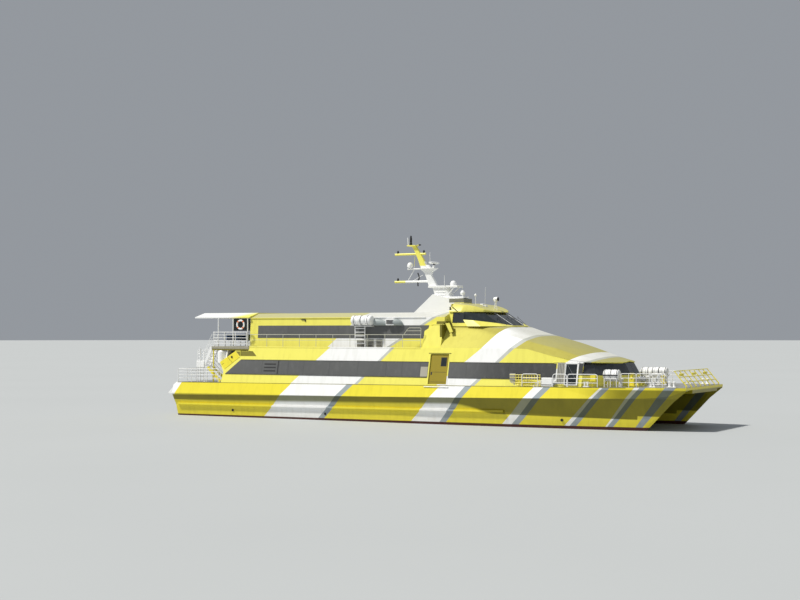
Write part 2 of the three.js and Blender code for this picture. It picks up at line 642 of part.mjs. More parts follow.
addPair("side_rail", rail(PATHS.side, 820, [0.35, 0.7, 1], 1100), "white");
add("upper_stern_rail", rail(PATHS.upperStern, 1050, UPPER_LEVELS, 1300), "white");

// Bow pulpit: slanting stanchions under a top rail
const PULPIT = { front: 19850, back: 19050, half: 3400, rise: 980, radius: 28 };
function pulpit() {
  const { front, back, half, rise, radius } = PULPIT;
  const foot = deckZ(BOW) + 45;
  const ys = [...Array(8).keys()].map((i) => half * ((2 * i) / 7 - 1));
  const at = (y, t) => [front + (back - front) * t, y, foot + rise * t];
  const slant = ys.map((y) => bar(at(y, 0), at(y, 1), radius));
  const end = half + 40;
  const level = [0.45, 1].map((t) => bar(at(-end, t), at(end, t), radius * 0.9));
  const pads = ys.map((y) =>
    box([front - 50, front + 50], [y - 50, y + 50], [deckZ(front + 50) + GAP, foot + 30]));
  return join(slant, level, pads);
}
add("bow_pulpit", pulpit(), "yellow");

// Liferafts: a rack and a row of canisters, on the foredeck and the upper deck
function canisterRow(x0, x1, y, z, radius) {
  const rack = [x0 + 100, x1 - 100].map((x) =>
    box([x - 40, x + 40], [y - radius, y + radius], [deckZ(x) + GAP, z - radius * 0.75]));
  return join(bar([x0, y, z], [x1, y, z], radius, 16), rack);
}
addPair("foredeck_raft", canisterRow(14400, 15500, -3500, 3430, 400), "white");
add("centre_raft", canisterRow(16350, 17500, 0, 3680, 240), "white");
// Beside the canister on the upper deck, a vent fairing lies against the roof edge.
const VENT_FAIRING = [[-2560, 6660], [-250, 6660], [-500, 7180], [-2400, 7240], [-2560, 7150]];
function upperRaft() {
  const [x0, x1, y, z, radius] = [-4200, -2520, -4000, 7020, 335];
  const ladder = [x0 + 200, x1 - 700].map((x) => bar([x, -4010, UPPER_DECK + GAP], [x, -3990, z], 35));
  const shelf = box([x0 + 160, x1 - 660], [-4060, -3760], [z - 370, z - 300]);
  const fairing = prismY(VENT_FAIRING, -3900, -3560);
  return join(bar([x0, y, z], [x1, y, z], radius, 16), ladder, shelf, fairing);
}
addPair("upper_raft", upperRaft(), "white");

// Mooring winch and bollards
const bollardPlate = box([18600, 19200], [-3600, -3300], [deckZ(19200) + GAP, 2790]);
const bollardPosts = [18750, 19050].map((x) => bar([x, -3450, 2780], [x, -3450, 3120], 80, 10));
addPair("bollards", join(bollardPlate, bollardPosts), "white");
const winchBed = box([15900, 16500], [-2000, -1200], [deckZ(16500) + GAP, 2860]);
const winchDrum = bar([16200, -2150, 3150], [16200, -1050, 3150], 190, 14);
const winchCheeks = [-1950, -1250].map((y) => box([16050, 16350], [y - 30, y + 30], [2800, 3200]));
add("mooring_winch", join(winchBed, winchDrum, winchCheeks), "yellow");

// Stern stairs from the upper deck to a half landing and on to the after deck
function stairs() {
  const [y0, y1] = [-4150, -3350];
  const landing = box([-17700, -16700], [y0, y1], [3560, 3640]);
  const top = UPPER_STEP.aft - GAP;
  const onto = (x) => [x, deckZ(x) + GAP];
  const upperFlight = prismY([[top, 5150], [top, 4950], [-17000, 3600], [-17250, 3600]], y0, y1);
  const lowerFlight = prismY([[-16700, 3600], [-16950, 3600], onto(-15660), onto(-15400)], y0, y1);
  const feet = [[-17650, y0 + 40, 4800], [-17650, y1 - 40, 4800], [-16750, y0 + 40, 3600]];
  const posts = feet.map(([x, y, z]) => bar([x, y, deckZ(x) + GAP], [x, y, z], 40));
  const guard = bar([-17650, y0 + 40, 4780], [-17650, y1 - 40, 4780], 30);
  return join(landing, upperFlight, lowerFlight, posts, guard);
}
addPair("stern_stairs", stairs(), "white");

// Waterjets: a housing on the transom, a steering nozzle in its fork and a reversing bucket
const PIVOT_X = JET.end - Math.sqrt(JET.ball ** 2 - 232 ** 2) - GAP;
const BUCKET_X = PIVOT_X - JET.hinge;
const along = (profile) => turned(profile, [0, JET.y, JET.z], "x", 24);
function jetHousing() {
  const { y, z, foot, end, ball } = JET;
  const shell = along([[232, end], [300, end], [380, end + 60], [380, foot], [232, foot], [232, end]]);
  const fork = [-1, 1].map((s) =>
    box([PIVOT_X - 70, end + 60], [y - 60, y + 60], [z + s * (ball + 50) - 20, z + s * (ball + 50) + 20]));
  const webs = [-1, 1].map((s) =>
    box([end, end + 60], [y - 60, y + 60], [z + s * 320 - 60, z + s * 320 + 60]));
  return join(shell, fork, webs);
}
// All of the nozzle ahead of its pivot lies in a sphere that is smaller than the housing's mouth.
function nozzle() {
  const { y, z, ball, swing } = JET;
  const lip = [25, 45].map((degrees) => {
    const a = degrees * (Math.PI / 180);
    return [swing * Math.cos(a), -swing * Math.sin(a)];
  });
  const profile = [[200, 385], [225, 385], [255, 60], [swing, 0], ...lip, [150, -190], [200, 385]];
  const body = along(profile.map(([r, h]) => [r, PIVOT_X - h]));
  const pins = [-1, 1].map((s) =>
    bar([PIVOT_X, y, z + s * (ball - 40)], [PIVOT_X, y, z + s * (ball + 30 - GAP)], 50, 12));
  const studs = [-1, 1].map((s) =>
    bar([BUCKET_X, y + s * 215, z], [BUCKET_X, y + s * (262 - GAP), z], 35, 12));
  return join(body, pins, studs);
}
function bucket() {
  const { y, z } = JET;
  const sector = (r0, r1, from, to, steps = 8) => {
    const at = (r, i) => {
      const a = (from + ((to - from) * i) / steps) * (Math.PI / 180);
      return [BUCKET_X + r * Math.cos(a), z + r * Math.sin(a)];
    };
    const turns = [...Array(steps + 1).keys()];
    return [...turns.map((i) => at(r1, i)), ...turns.reverse().map((i) => at(r0, i))];
  };
  const plate = prismY(sector(290, 312, 78, 142), y - 282, y + 282);
  const cheeks = [-1, 1].map((s) => {
    const [y0, y1] = [y + s * 262, y + s * 282].sort((a, b) => a - b);
    return join(prismY(sector(5, 300, 78, 142), y0, y1), bar([BUCKET_X, y0, z], [BUCKET_X, y1, z], 60, 12));
  });
  return join(plate, cheeks);
}
addPair("jet_housing", jetHousing(), "metal");
addPair("steering_nozzle", nozzle(), "metal");
addPair("reversing_bucket", bucket(), "metal");

export default group;
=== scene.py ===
"""Fast passenger catamaran ferry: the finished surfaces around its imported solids.

Metres, +X to the bow, +Y to port, +Z up, with the waterline at z = 0.
"""

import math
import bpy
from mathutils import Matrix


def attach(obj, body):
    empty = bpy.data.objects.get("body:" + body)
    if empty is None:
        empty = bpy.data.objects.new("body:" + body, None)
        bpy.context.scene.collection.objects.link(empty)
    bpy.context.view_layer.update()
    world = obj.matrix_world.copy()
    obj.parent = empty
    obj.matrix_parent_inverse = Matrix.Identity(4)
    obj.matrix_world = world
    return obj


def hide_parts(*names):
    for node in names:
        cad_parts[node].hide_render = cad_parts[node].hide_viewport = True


bl_info = {
    "name": "Passenger Catamaran Ferry",
    "version": (1, 0, 0),
    "blender": (4, 5, 0),
    "location": "View3D > Sidebar > Ferry",
    "description": "Builds the finished surfaces of a fast passenger catamaran ferry",
    "category": "Object",
}

import bmesh
import bpy
import numpy as np
from mathutils import Vector

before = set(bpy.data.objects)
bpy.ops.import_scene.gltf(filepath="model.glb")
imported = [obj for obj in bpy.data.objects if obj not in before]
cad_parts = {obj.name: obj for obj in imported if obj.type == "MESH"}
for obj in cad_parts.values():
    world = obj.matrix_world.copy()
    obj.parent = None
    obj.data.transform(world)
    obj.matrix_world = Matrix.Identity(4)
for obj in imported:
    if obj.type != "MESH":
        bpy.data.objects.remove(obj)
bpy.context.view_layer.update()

SIDES = {"starboard": -1, "port": 1}
DECK_MID = 2.61  # height of the main deck amidships
SHEER = 0.0066  # its rise for each metre forward
HOUSE_FOOT = 4.8  # half breadth of the main house at that height
SIDE_LEAN = 0.237  # how far its side leans in for each metre up
SHOULDER_X = 8.0  # where it starts to taper
SIDE_TAPER = 0.13  # how far it tapers for each metre forward
UPPER_DECK = 5.15  # height of the upper deck
UPPER_FOOT = 3.65  # half breadth of the upper house at that height
UPPER_LEAN, UPPER_WALL = 0.15, 2.1  # how far it leans in over the height of its wall
WALKWAY_EDGE = 4.15  # distance of the upper deck's rails from the centreline
BAND_LOW, BAND_HIGH = 3.165, 4.175  # foot and head of the saloon windows
UPPER_BAND_LOW, UPPER_BAND_HIGH = 5.775, 6.68


def deck(x):
    """Height of the main deck at x: a straight sheer."""
    return DECK_MID + SHEER * np.asarray(x, float)


def house_half(x, z):
    """Half breadth of the main house: it leans in with height and tapers ahead of the shoulder."""
    x, z = np.asarray(x, float), np.asarray(z, float)
    return HOUSE_FOOT - SIDE_LEAN * (z - DECK_MID) - SIDE_TAPER * np.maximum(0, x - SHOULDER_X)


def upper_half(x, z):
    """Half breadth of the upper house, which leans in with height and is the same at each x."""
    lean = UPPER_LEAN * (np.asarray(z, float) - UPPER_DECK) / UPPER_WALL
    return UPPER_FOOT - lean + 0 * np.asarray(x, float)


# Mesh making


def read(table, at, column=1):
    """A column of a table at given values of its first one, by straight lines between its rows."""
    table = np.asarray(table, float)
    return np.interp(at, table[:, 0], table[:, column])


def quads(rows, columns, loop_rows=False, loop_columns=False):
    """Faces of a grid of points, row by row, closed round on itself where asked."""
    i = np.arange(rows if loop_rows else rows - 1)
    j = np.arange(columns if loop_columns else columns - 1)
    a, b = np.meshgrid(i, j, indexing="ij")
    c, d = (a + 1) % rows, (b + 1) % columns
    faces = [a * columns + b, c * columns + b, c * columns + d, a * columns + d]
    return np.stack(faces, -1).reshape(-1, 4)


def chamfered_faces():
    """Faces of a box with cut edges: its point 3c + k is corner c pushed out along axis k."""
    corner = {(x, y, z): 4 * x + 2 * y + z for x in (0, 1) for y in (0, 1) for z in (0, 1)}

    def at(k, sign, a, b):
        """The corner at these ends of axis k and of the two axes after it."""
        place = [0, 0, 0]
        place[k], place[(k + 1) % 3], place[(k + 2) % 3] = sign, a, b
        return corner[tuple(place)]

    flat = [
        [3 * at(k, s, a, b) + k for a, b in ((0, 0), (1, 0), (1, 1), (0, 1))]
        for k in range(3)
        for s in (0, 1)
    ]
    edges = []
    for k in range(3):
        for a in (0, 1):
            for b in (0, 1):
                low, high = 3 * at(k, 0, a, b), 3 * at(k, 1, a, b)
                one, two = (k + 1) % 3, (k + 2) % 3
                edges.append([low + one, high + one, high + two, low + two])
    corners = [[3 * c, 3 * c + 1, 3 * c + 2] for c in range(8)]
    return flat + edges, corners


BOX_QUADS, BOX_TRIANGLES = chamfered_faces()
BOX_CORNERS = np.array([[x, y, z] for x in (-1, 1) for y in (-1, 1) for z in (-1, 1)], float)
BOX_POINTS = 3 * len(BOX_CORNERS)


class Form:
    """Points and faces of one piece, gathered part by part, each face with its finish's number."""

    def __init__(self):
        self.points, self.faces, self.finish, self.total = [], [], [], 0

    def add(self, points, groups, finish=0):
        """Adds points and arrays of faces that count from the first of them."""
        points = np.asarray(points, float).reshape(-1, 3)
        for group in groups:
            group = np.asarray(group, int) + self.total
            self.faces += group.tolist()
            self.finish += [finish] * len(group)
        self.points.append(points)
        self.total += len(points)
        return self

    def slab(self, front, back, finish=0):
        """A sheet with thickness: two grids of equal size and a rim that joins them."""
        rows, columns = front.shape[:2]
        grid = np.arange(rows * columns).reshape(rows, columns)
        rim = np.concatenate([grid[0, :-1], grid[:-1, -1], grid[-1, :0:-1], grid[:0:-1, 0]])
        after = np.roll(rim, -1)
        count = rows * columns
        edge = np.stack([rim, after, after + count, rim + count], -1)
        faces = quads(rows, columns)
        points = np.concatenate([front.reshape(-1, 3), back.reshape(-1, 3)])
        return self.add(points, [faces, faces[:, ::-1] + count, edge], finish)

    def loft(self, sections, finish=0):
        """A skin through closed sections, row by row, with a flat cap at each end."""
        sections = np.asarray(sections, float)
        rows, columns = sections.shape[:2]
        faces = quads(rows, columns, loop_columns=True)
        ring = np.arange(columns)
        caps = [ring[::-1], ring + (rows - 1) * columns]
        return self.add(sections, [faces, caps], finish)

    def ring(self, sections, finish=0):
        """A skin through closed sections that meets itself, as on a torus."""
        sections = np.asarray(sections, float)
        rows, columns = sections.shape[:2]
        return self.add(sections, [quads(rows, columns, True, True)], finish)

    def bars(self, starts, ends, radius, sides=8, finish=0):
        """Straight round bars: a circle at each end, square to the bar's own line."""
        p, q = np.atleast_2d(np.asarray(starts, float)), np.atleast_2d(np.asarray(ends, float))
        along = (q - p) / np.linalg.norm(q - p, axis=1, keepdims=True)
        helper = np.where(np.abs(along[:, 2:]) > 0.9, [[1.0, 0, 0]], [[0, 0, 1.0]])
        one = np.cross(along, helper)
        one /= np.linalg.norm(one, axis=1, keepdims=True)
        two = np.cross(along, one)
        turn = np.arange(sides) * 2 * math.pi / sides
        circle = one[:, None] * np.cos(turn)[:, None] + two[:, None] * np.sin(turn)[:, None]
        size = np.broadcast_to(np.asarray(radius, float), (len(p),))[:, None, None]
        rings = np.stack([p[:, None] + circle * size, q[:, None] + circle * size], 1)
        base = (np.arange(len(p)) * 2 * sides)[:, None, None]
        skin = (quads(2, sides, loop_columns=True)[None] + base).reshape(-1, 4)
        caps = np.stack([np.arange(sides)[::-1], np.arange(sides) + sides])
        return self.add(rings, [skin, (caps[None] + base).reshape(-1, sides)], finish)

    def tube(self, path, radius, normal, sides=10, finish=0):
        """A round tube along a flat path: circles square to it, turned about the path's normal."""
        p = np.asarray(path, float)
        along = np.gradient(p, axis=0)
        along /= np.linalg.norm(along, axis=1, keepdims=True)
        one = np.cross(np.asarray(normal, float), along)
        one /= np.linalg.norm(one, axis=1, keepdims=True)
        two = np.cross(along, one)
        turn = np.arange(sides)[None, :, None] * 2 * math.pi / sides
        rings = p[:, None] + radius * (one[:, None] * np.cos(turn) + two[:, None] * np.sin(turn))
        return self.loft(rings, finish)

    def boxes(self, spans, chamfer=0.01, finish=0):
        """Boxes [x0, x1, y0, y1, z0, z1] with cut edges."""
        spans = np.atleast_2d(np.asarray(spans, float))
        low, high = spans[:, 0::2], spans[:, 1::2]
        centre, half = (low + high) / 2, (high - low) / 2
        inset = np.full((3, 3), 1.0) - np.eye(3)
        size = half[:, None, None] - chamfer * inset[None, None]
        points = centre[:, None, None] + BOX_CORNERS[None, :, None] * size
        base = (np.arange(len(spans)) * BOX_POINTS)[:, None, None]
        sides = (np.array(BOX_QUADS)[None] + base).reshape(-1, 4)
        corners = (np.array(BOX_TRIANGLES)[None] + base).reshape(-1, 3)
        return self.add(points, [sides, corners], finish)

    def turned(self, profile, centre, axis="z", sides=20, finish=0):
        """A turned piece: [radius, height] pairs carried round an axis through the centre."""
        r, h = np.asarray(profile, float).T
        turn = np.arange(sides) * 2 * math.pi / sides
        across, up = r[:, None] * np.cos(turn), r[:, None] * np.sin(turn)
        level = np.broadcast_to(h[:, None], across.shape)
        order = {"x": [level, across, up], "y": [across, level, up], "z": [across, up, level]}
        return self.loft(np.stack(order[axis], -1) + np.asarray(centre, float), finish)

    def to_side(self, side):
        """Turns a starboard form into the port one by changing the sign of y."""
        if side > 0:
            self.points = [p * [1, -1, 1] for p in self.points]
        return self


def fillet(points, radius, steps=4):
    """A path with its corners rounded: each is a quadratic curve between points beside it."""
    p = np.asarray(points, float)

    def beside(a, b):
        """Points from a towards b by the radius, but at most 0.45 of the way."""
        reach = np.linalg.norm(b - a, axis=1, keepdims=True)
        return a + (b - a) * np.minimum(0.45, radius / reach)

    a, b = beside(p[1:-1], p[:-2]), beside(p[1:-1], p[2:])
    t = np.linspace(0, 1, steps + 1)[None, :, None]
    arcs = (1 - t) ** 2 * a[:, None] + 2 * t * (1 - t) * p[1:-1, None] + t * t * b[:, None]
    return np.concatenate([p[:1], arcs.reshape(-1, p.shape[1]), p[-1:]])


def grid(u_count, v_count):
    """Two grids of parameters from 0 to 1."""
    return np.meshgrid(np.linspace(0, 1, u_count), np.linspace(0, 1, v_count), indexing="ij")


def smooth_columns(table, at):
    """A table's columns read at given first values, by straight lines softened over a short span."""
    table = np.asarray(table, float)
    at = np.asarray(at, float)
    spread = np.linspace(-0.45, 0.45, 9)
    reach = np.clip(at[:, None] + spread, table[0, 0], table[-1, 0])
    weight = 1 - np.abs(spread) / 0.6
    weight /= weight.sum()
    columns = [np.interp(reach, table[:, 0], table[:, k]) @ weight for k in range(1, table.shape[1])]
    return np.stack(columns, -1)


def build(form, name, finishes, body="hull", replaces=(), angle=35):
    """Makes the gathered form one mesh object that rides on a body of the boat."""
    mesh = bpy.data.meshes.new(name)
    mesh.from_pydata(np.concatenate(form.points).tolist(), [], form.faces)
    mesh.polygons.foreach_set("material_index", form.finish)
    for finish in finishes:
        mesh.materials.append(finish)
    shape = bmesh.new()
    shape.from_mesh(mesh)
    bmesh.ops.remove_doubles(shape, verts=shape.verts, dist=1e-5)
    bmesh.ops.dissolve_degenerate(shape, edges=shape.edges, dist=1e-6)
    bmesh.ops.recalc_face_normals(shape, faces=shape.faces)
    shape.to_mesh(mesh)
    shape.free()
    mesh.polygons.foreach_set("use_smooth", [True] * len(mesh.polygons))
    mesh.set_sharp_from_angle(angle=math.radians(angle))
    piece = bpy.data.objects.new(name, mesh)
    bpy.context.scene.collection.objects.link(piece)
    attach(piece, body)
    if replaces:
        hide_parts(*replaces)


# Finishes


class Finish:
    """A procedural material; its methods add nodes and give back their output sockets."""

    made = {}

    def __init__(self, name, roughness=0.45, metallic=0.0, coat=0.0):
        self.material = bpy.data.materials.new(name)
        self.material.use_nodes = True
        self.tree = self.material.node_tree
        self.tree.nodes.clear()
        self.shader = self.node("ShaderNodeBsdfPrincipled")
        self.shader.inputs["Roughness"].default_value = roughness
        self.shader.inputs["Metallic"].default_value = metallic
        self.shader.inputs["Coat Weight"].default_value = coat
        output = self.node("ShaderNodeOutputMaterial")
        self.tree.links.new(self.shader.outputs["BSDF"], output.inputs["Surface"])
        self.place = self.node("ShaderNodeTexCoord").outputs["Object"]
        Finish.made[name] = self.material

    def node(self, kind, **settings):
        """A new node of a kind, with its settings."""
        made = self.tree.nodes.new(kind)
        for key, value in settings.items():
            setattr(made, key, value)
        return made

    def put(self, socket, value):
        """Links another node's output to an input, or sets the input to a plain value."""
        if isinstance(value, bpy.types.NodeSocket):
            self.tree.links.new(value, socket)
        else:
            socket.default_value = value

    def axes(self):
        """The x, y and z of the shaded point."""
        split = self.node("ShaderNodeSeparateXYZ")
        self.put(split.inputs[0], self.place)
        return split.outputs

    def facing_up(self):
        """How far the surface faces up: 1 where it is level, 0 where it is upright."""
        split = self.node("ShaderNodeSeparateXYZ")
        self.put(split.inputs[0], self.node("ShaderNodeNewGeometry").outputs["Normal"])
        return split.outputs[2]

    def maths(self, operation, *values):
        """The result of one Math node."""
        made = self.node("ShaderNodeMath", operation=operation)
        for socket, value in zip(made.inputs, values):
            self.put(socket, value)
        return made.outputs[0]

    def total(self, *values):
        """The sum of some values."""
        result = values[0]
        for value in values[1:]:
            result = self.maths("ADD", result, value)
        return result

    def product(self, *values):
        """The product of some values."""
        result = values[0]
        for value in values[1:]:
            result = self.maths("MULTIPLY", result, value)
        return result

    def above(self, value, limit, soft=0.02):
        """0 where the value is below the limit and 1 where it is above, over a soft width."""
        made = self.node("ShaderNodeMapRange", interpolation_type="SMOOTHSTEP")
        low = self.maths("SUBTRACT", value, limit)
        for socket, part in zip(made.inputs, (low, -soft / 2, soft / 2, 0.0, 1.0)):
            self.put(socket, part)
        return made.outputs[0]

    def inside(self, value, low, high, soft=0.02):
        """1 between two limits and 0 outside them."""
        return self.product(self.above(value, low, soft), self.above(high, value, soft))

    def noise(self, scale, detail=3.0, stretch=(1, 1, 1), roughness=0.5):
        """Noise from 0 to 1 over the piece; a smaller number in stretch makes it longer that way."""
        turn = self.node("ShaderNodeMapping")
        self.put(turn.inputs["Vector"], self.place)
        turn.inputs["Scale"].default_value = stretch
        made = self.node("ShaderNodeTexNoise")
        self.put(made.inputs["Vector"], turn.outputs[0])
        made.inputs["Scale"].default_value = scale
        made.inputs["Detail"].default_value = detail
        made.inputs["Roughness"].default_value = roughness
        return made.outputs["Fac"]

    def line(self, value, slope, start):
        """A straight line: the value times a slope, plus a start."""
        return self.total(self.product(value, slope), start)

    def spread(self, value, low, high):
        """A value from 0 to 1 carried to another range."""
        return self.line(value, high - low, low)

    def blend(self, share, one, two, kind="MIX"):
        """One colour where the share is 0, the other where it is 1, and a mix between."""
        made = self.node("ShaderNodeMix", data_type="RGBA", blend_type=kind)
        self.put(made.inputs[0], share)
        self.put(made.inputs[6], opaque(one))
        self.put(made.inputs[7], opaque(two))
        return made.outputs[2]

    def colour(self, value):
        """Sets the shader's colour."""
        self.put(self.shader.inputs["Base Color"], opaque(value))

    def rough(self, value):
        """Sets the shader's roughness."""
        self.put(self.shader.inputs["Roughness"], value)

    def bump(self, height, strength, distance=0.01):
        """Tilts the shader's normals as a relief of that height would."""
        made = self.node("ShaderNodeBump")
        made.inputs["Strength"].default_value = strength
        made.inputs["Distance"].default_value = distance
        self.put(made.inputs["Height"], height)
        self.put(self.shader.inputs["Normal"], made.outputs[0])


def opaque(colour):
    """A colour of three numbers with an alpha of 1; a socket stays as it is."""
    return colour if isinstance(colour, bpy.types.NodeSocket) else (*colour, 1)


def shade(colour, factor):
    """A colour made darker or lighter by a factor."""
    return tuple(min(1.0, c * factor) for c in colour)


# Slanting stripes as [first x at z 0, slope, last x at z 0, slope, width of the grey edge].
BREAK_STRIPE = (5.95, 1.42, 7.2, 1.48, 0.35)
HULL_STRIPES = [
    (-11.38, 1.02, -6.25, 1.02, 0.5),
    (0.75, 0.95, 3.42, 0.83, 0.5),
    (7.55, 0.95, 8.72, 0.945, 0.5),
    (11.83, 1.017, 12.65, 0.944, 0.45),
    (14.59, 0.8, 15.08, 0.877, 0.38),
    (16.52, 0.783, 16.94, 0.88, 0.9),
]
HOUSE_STRIPES = [
    (-11.75, 1.14, -5.95, 1.03, 0.25),
    (-0.35, 1.24, 2.95, 1.06, 0.3),
    BREAK_STRIPE,
]
HOOD_STRIPES = [(2.15, 0.75, 3.83, 0.9, 0.4), BREAK_STRIPE]
UPPER_STRIPES = [(-12.64, 1.2, -10.2, 1.72, 0.3)]

# Lines of the paint as (slope, start): x by z for the white corner, z by x for the others.
CORNER_LINE, CORNER_FOOT = (0.6, -20.1), 1.56
# The belt lines place painted shade under the knuckle and on the bow flare.
BOOT_LINE, BELT_KNUCKLE, BELT_CHINE = (0.0026, 0.165), (0.0125, 1.8), (-0.0135, 0.925)
BELT_REACH, BELT_GROWS = 0.42, 6.5  # how deep the belt is aft, and the x where it grows
FLARE_TOP = 2.58  # where the belt ends on the bow flare
GRIT_LOW = 2.3  # level faces of the hull above this height are deck
FAIRING_LINE, FAIRING_TOP = (1.72, 4.49), 8.28  # limits of the yellow at the mast's foot
MAST_YELLOW = 10.95  # the mast is yellow above this height
CANOPY_TURN, CANOPY_SLOPE = (-14.6, 1.4), -3.0  # where the canopy turns yellow, soft width, slope

DIRT = (0.36, 0.32, 0.2)
SPLASH = (0.42, 0.36, 0.2)
# Darker colours that take over on faces that look up: painted shade on the tops.
HOOD_TOP_SHADE = (0.5, 0.45, 0.1)
UPPER_TOP_SHADE = (0.7, 0.66, 0.25)
ROOF_TOP_SHADE = (0.78, 0.72, 0.16)
# Dark grey on the fairing's nose under the forward platform: painted shade.
MAST_NOSE_SHADE = (0.2, 0.2, 0.15)


def striped(finish, stripes, ground, white, edge):
    """Paint of the ground colour crossed by white stripes, each with a grey forward edge."""
    x, _, z = finish.axes()
    result = ground
    for aft, aft_slope, fore, fore_slope, width in stripes:
        first = finish.line(z, aft_slope, aft)
        last = finish.line(z, fore_slope, fore)
        within = finish.inside(x, first, last)
        shadow = finish.above(x, finish.maths("SUBTRACT", last, width))
        result = finish.blend(within, result, finish.blend(shadow, white, edge))
    return result


def enamel(
    name, looks, stripes=(), ground=None, roughness=0.3, hull=False, edge=None, top_shade=None, gloss=0.5
):
    """Marine enamel in a ground colour, crossed by stripes. Its tone changes slowly, faint streaks
    run down it and its plates ripple a little. Where a top colour is given, it takes over on faces that
    look up and level ones turn darker still, both as painted shade. A hull has its own marks besides."""
    finish = Finish(name, roughness=roughness, coat=0.2 * gloss)
    finish.shader.inputs["Specular IOR Level"].default_value = gloss
    ground = ground or looks.yellow
    slow = finish.spread(finish.noise(0.35, 2.0), 0.15, 0.85)
    base = finish.blend(slow, shade(ground, 1.03), shade(ground, 0.95))
    up = finish.facing_up()
    # painted shade: faces that look up take a darker colour
    if top_shade:
        base = finish.blend(finish.above(up, 0.6, 0.5), base, top_shade)
    colour = striped(finish, stripes, base, looks.white, edge or looks.stripe_edge)
    streaks = finish.noise(1.2, 4.0, stretch=(3.0, 3.0, 0.22))
    streaks = finish.spread(finish.above(streaks, 0.56, 0.2), 0.0, 0.08)
    colour = finish.blend(streaks, colour, DIRT, "MULTIPLY")
    if hull:
        colour = hull_marks(finish, looks, colour, up)
    # painted shade: level faces are darkened further
    if top_shade:
        level_shade = finish.product(finish.above(up, 0.93, 0.1), 0.5)
        colour = finish.blend(level_shade, colour, looks.level_shade)
    finish.colour(colour)
    finish.rough(finish.spread(finish.noise(0.8, 4.0), roughness - 0.06, roughness + 0.12))
    ripple = finish.total(finish.noise(0.9, 2.0), finish.product(finish.noise(45.0, 2.0), 0.02))
    finish.bump(ripple, 0.2, 0.02)


def hull_marks(finish, looks, colour, up):
    """What only the hulls have: a white after corner ahead of a slanting line, a belt of painted shade
    under the knuckle and on the bow flare, dull splashes low down, the boot top below its line, and
    deck grit on level faces of the deck."""
    x, _, z = finish.axes()
    slant = finish.line(z, *CORNER_LINE)
    corner = finish.product(finish.above(slant, x, 0.03), finish.above(z, CORNER_FOOT, 0.03))
    colour = finish.blend(corner, colour, looks.white)
    # painted shade: the belt darkens the hull under the knuckle and on the bow flare
    colour = finish.blend(painted_shade_belt(finish, x, z), colour, looks.belt, "MULTIPLY")
    splash = finish.product(finish.inside(z, 0.0, 0.55, 0.4), finish.noise(2.2, 5.0), 0.3)
    colour = finish.blend(splash, colour, SPLASH, "MULTIPLY")
    line = finish.line(x, *BOOT_LINE)
    weed = finish.blend(finish.noise(1.8, 5.0), looks.boot_top, shade(looks.boot_top, 0.55))
    colour = finish.blend(finish.above(line, z, 0.03), colour, weed)
    level = finish.product(finish.above(up, 0.9, 0.1), finish.above(z, GRIT_LOW, 0.1))
    grit = finish.blend(finish.noise(60.0, 2.0), looks.deck_grey, shade(looks.deck_grey, 0.8))
    return finish.blend(level, colour, grit)


def painted_shade_belt(finish, x, z):
    """How far painted shade darkens the hull: a strip under the knuckle that grows deeper forward,
    where it reaches the chine and also climbs over the bow flare."""
    depth = finish.maths("SUBTRACT", finish.line(x, *BELT_KNUCKLE), z)
    reach = finish.total(finish.above(x, BELT_GROWS, 5.0), BELT_REACH)
    stem = finish.product(finish.above(x, 16.85, 0.06), 0.23)
    chine = finish.total(finish.line(x, *BELT_CHINE), stem)
    strip = finish.product(finish.above(reach, depth, 0.22), finish.above(z, chine, 0.05))
    flare = finish.product(finish.above(x, 14.5, 3.5), finish.above(FLARE_TOP, z, 0.1), 0.92)
    under = finish.above(depth, 0.0, 0.05)
    over = finish.maths("SUBTRACT", 1.0, under)
    share = finish.total(finish.product(under, strip), finish.product(over, flare))
    return finish.product(share, finish.spread(finish.noise(0.7, 3.0), 0.84, 0.98))


def plain(
    name, colour, roughness=0.4, metallic=0.0, grain=30.0, change=0.08, relief=0.1, stretch=(1, 1, 1)
):
    """A plain finish with fine grain: its tone, gloss and surface vary a little."""
    finish = Finish(name, roughness, metallic)
    grains = finish.noise(grain, 4.0, stretch)
    slow = finish.noise(grain / 12, 2.0)
    mixed = finish.total(finish.product(grains, 0.5), finish.product(slow, 0.5))
    finish.colour(finish.blend(mixed, shade(colour, 1 + change), shade(colour, 1 - change)))
    finish.rough(finish.spread(grains, roughness - 0.05, roughness + 0.1))
    finish.bump(grains, relief, 0.002)


def tinted(name, colour, roughness=0.08, dark=None):
    """Tinted glass: its tone changes slowly along the band, with faint salt marks low down. Where
    dark gives an x and a soft width, it is darker ahead of that x."""
    finish = Finish(name, roughness)
    slow = finish.noise(0.35, 2.0, stretch=(1, 1, 0.3))
    salt = finish.noise(3.0, 4.0, stretch=(1.2, 1.2, 0.5))
    base = finish.blend(slow, shade(colour, 0.88), shade(colour, 1.12))
    if dark:
        x, _, _ = finish.axes()
        base = finish.blend(finish.above(x, *dark), base, shade(colour, 0.62))
    marks = finish.product(finish.above(salt, 0.6, 0.3), 0.04)
    finish.colour(finish.blend(marks, base, (0.5, 0.5, 0.5)))
    finish.rough(finish.spread(salt, roughness - 0.02, roughness + 0.08))


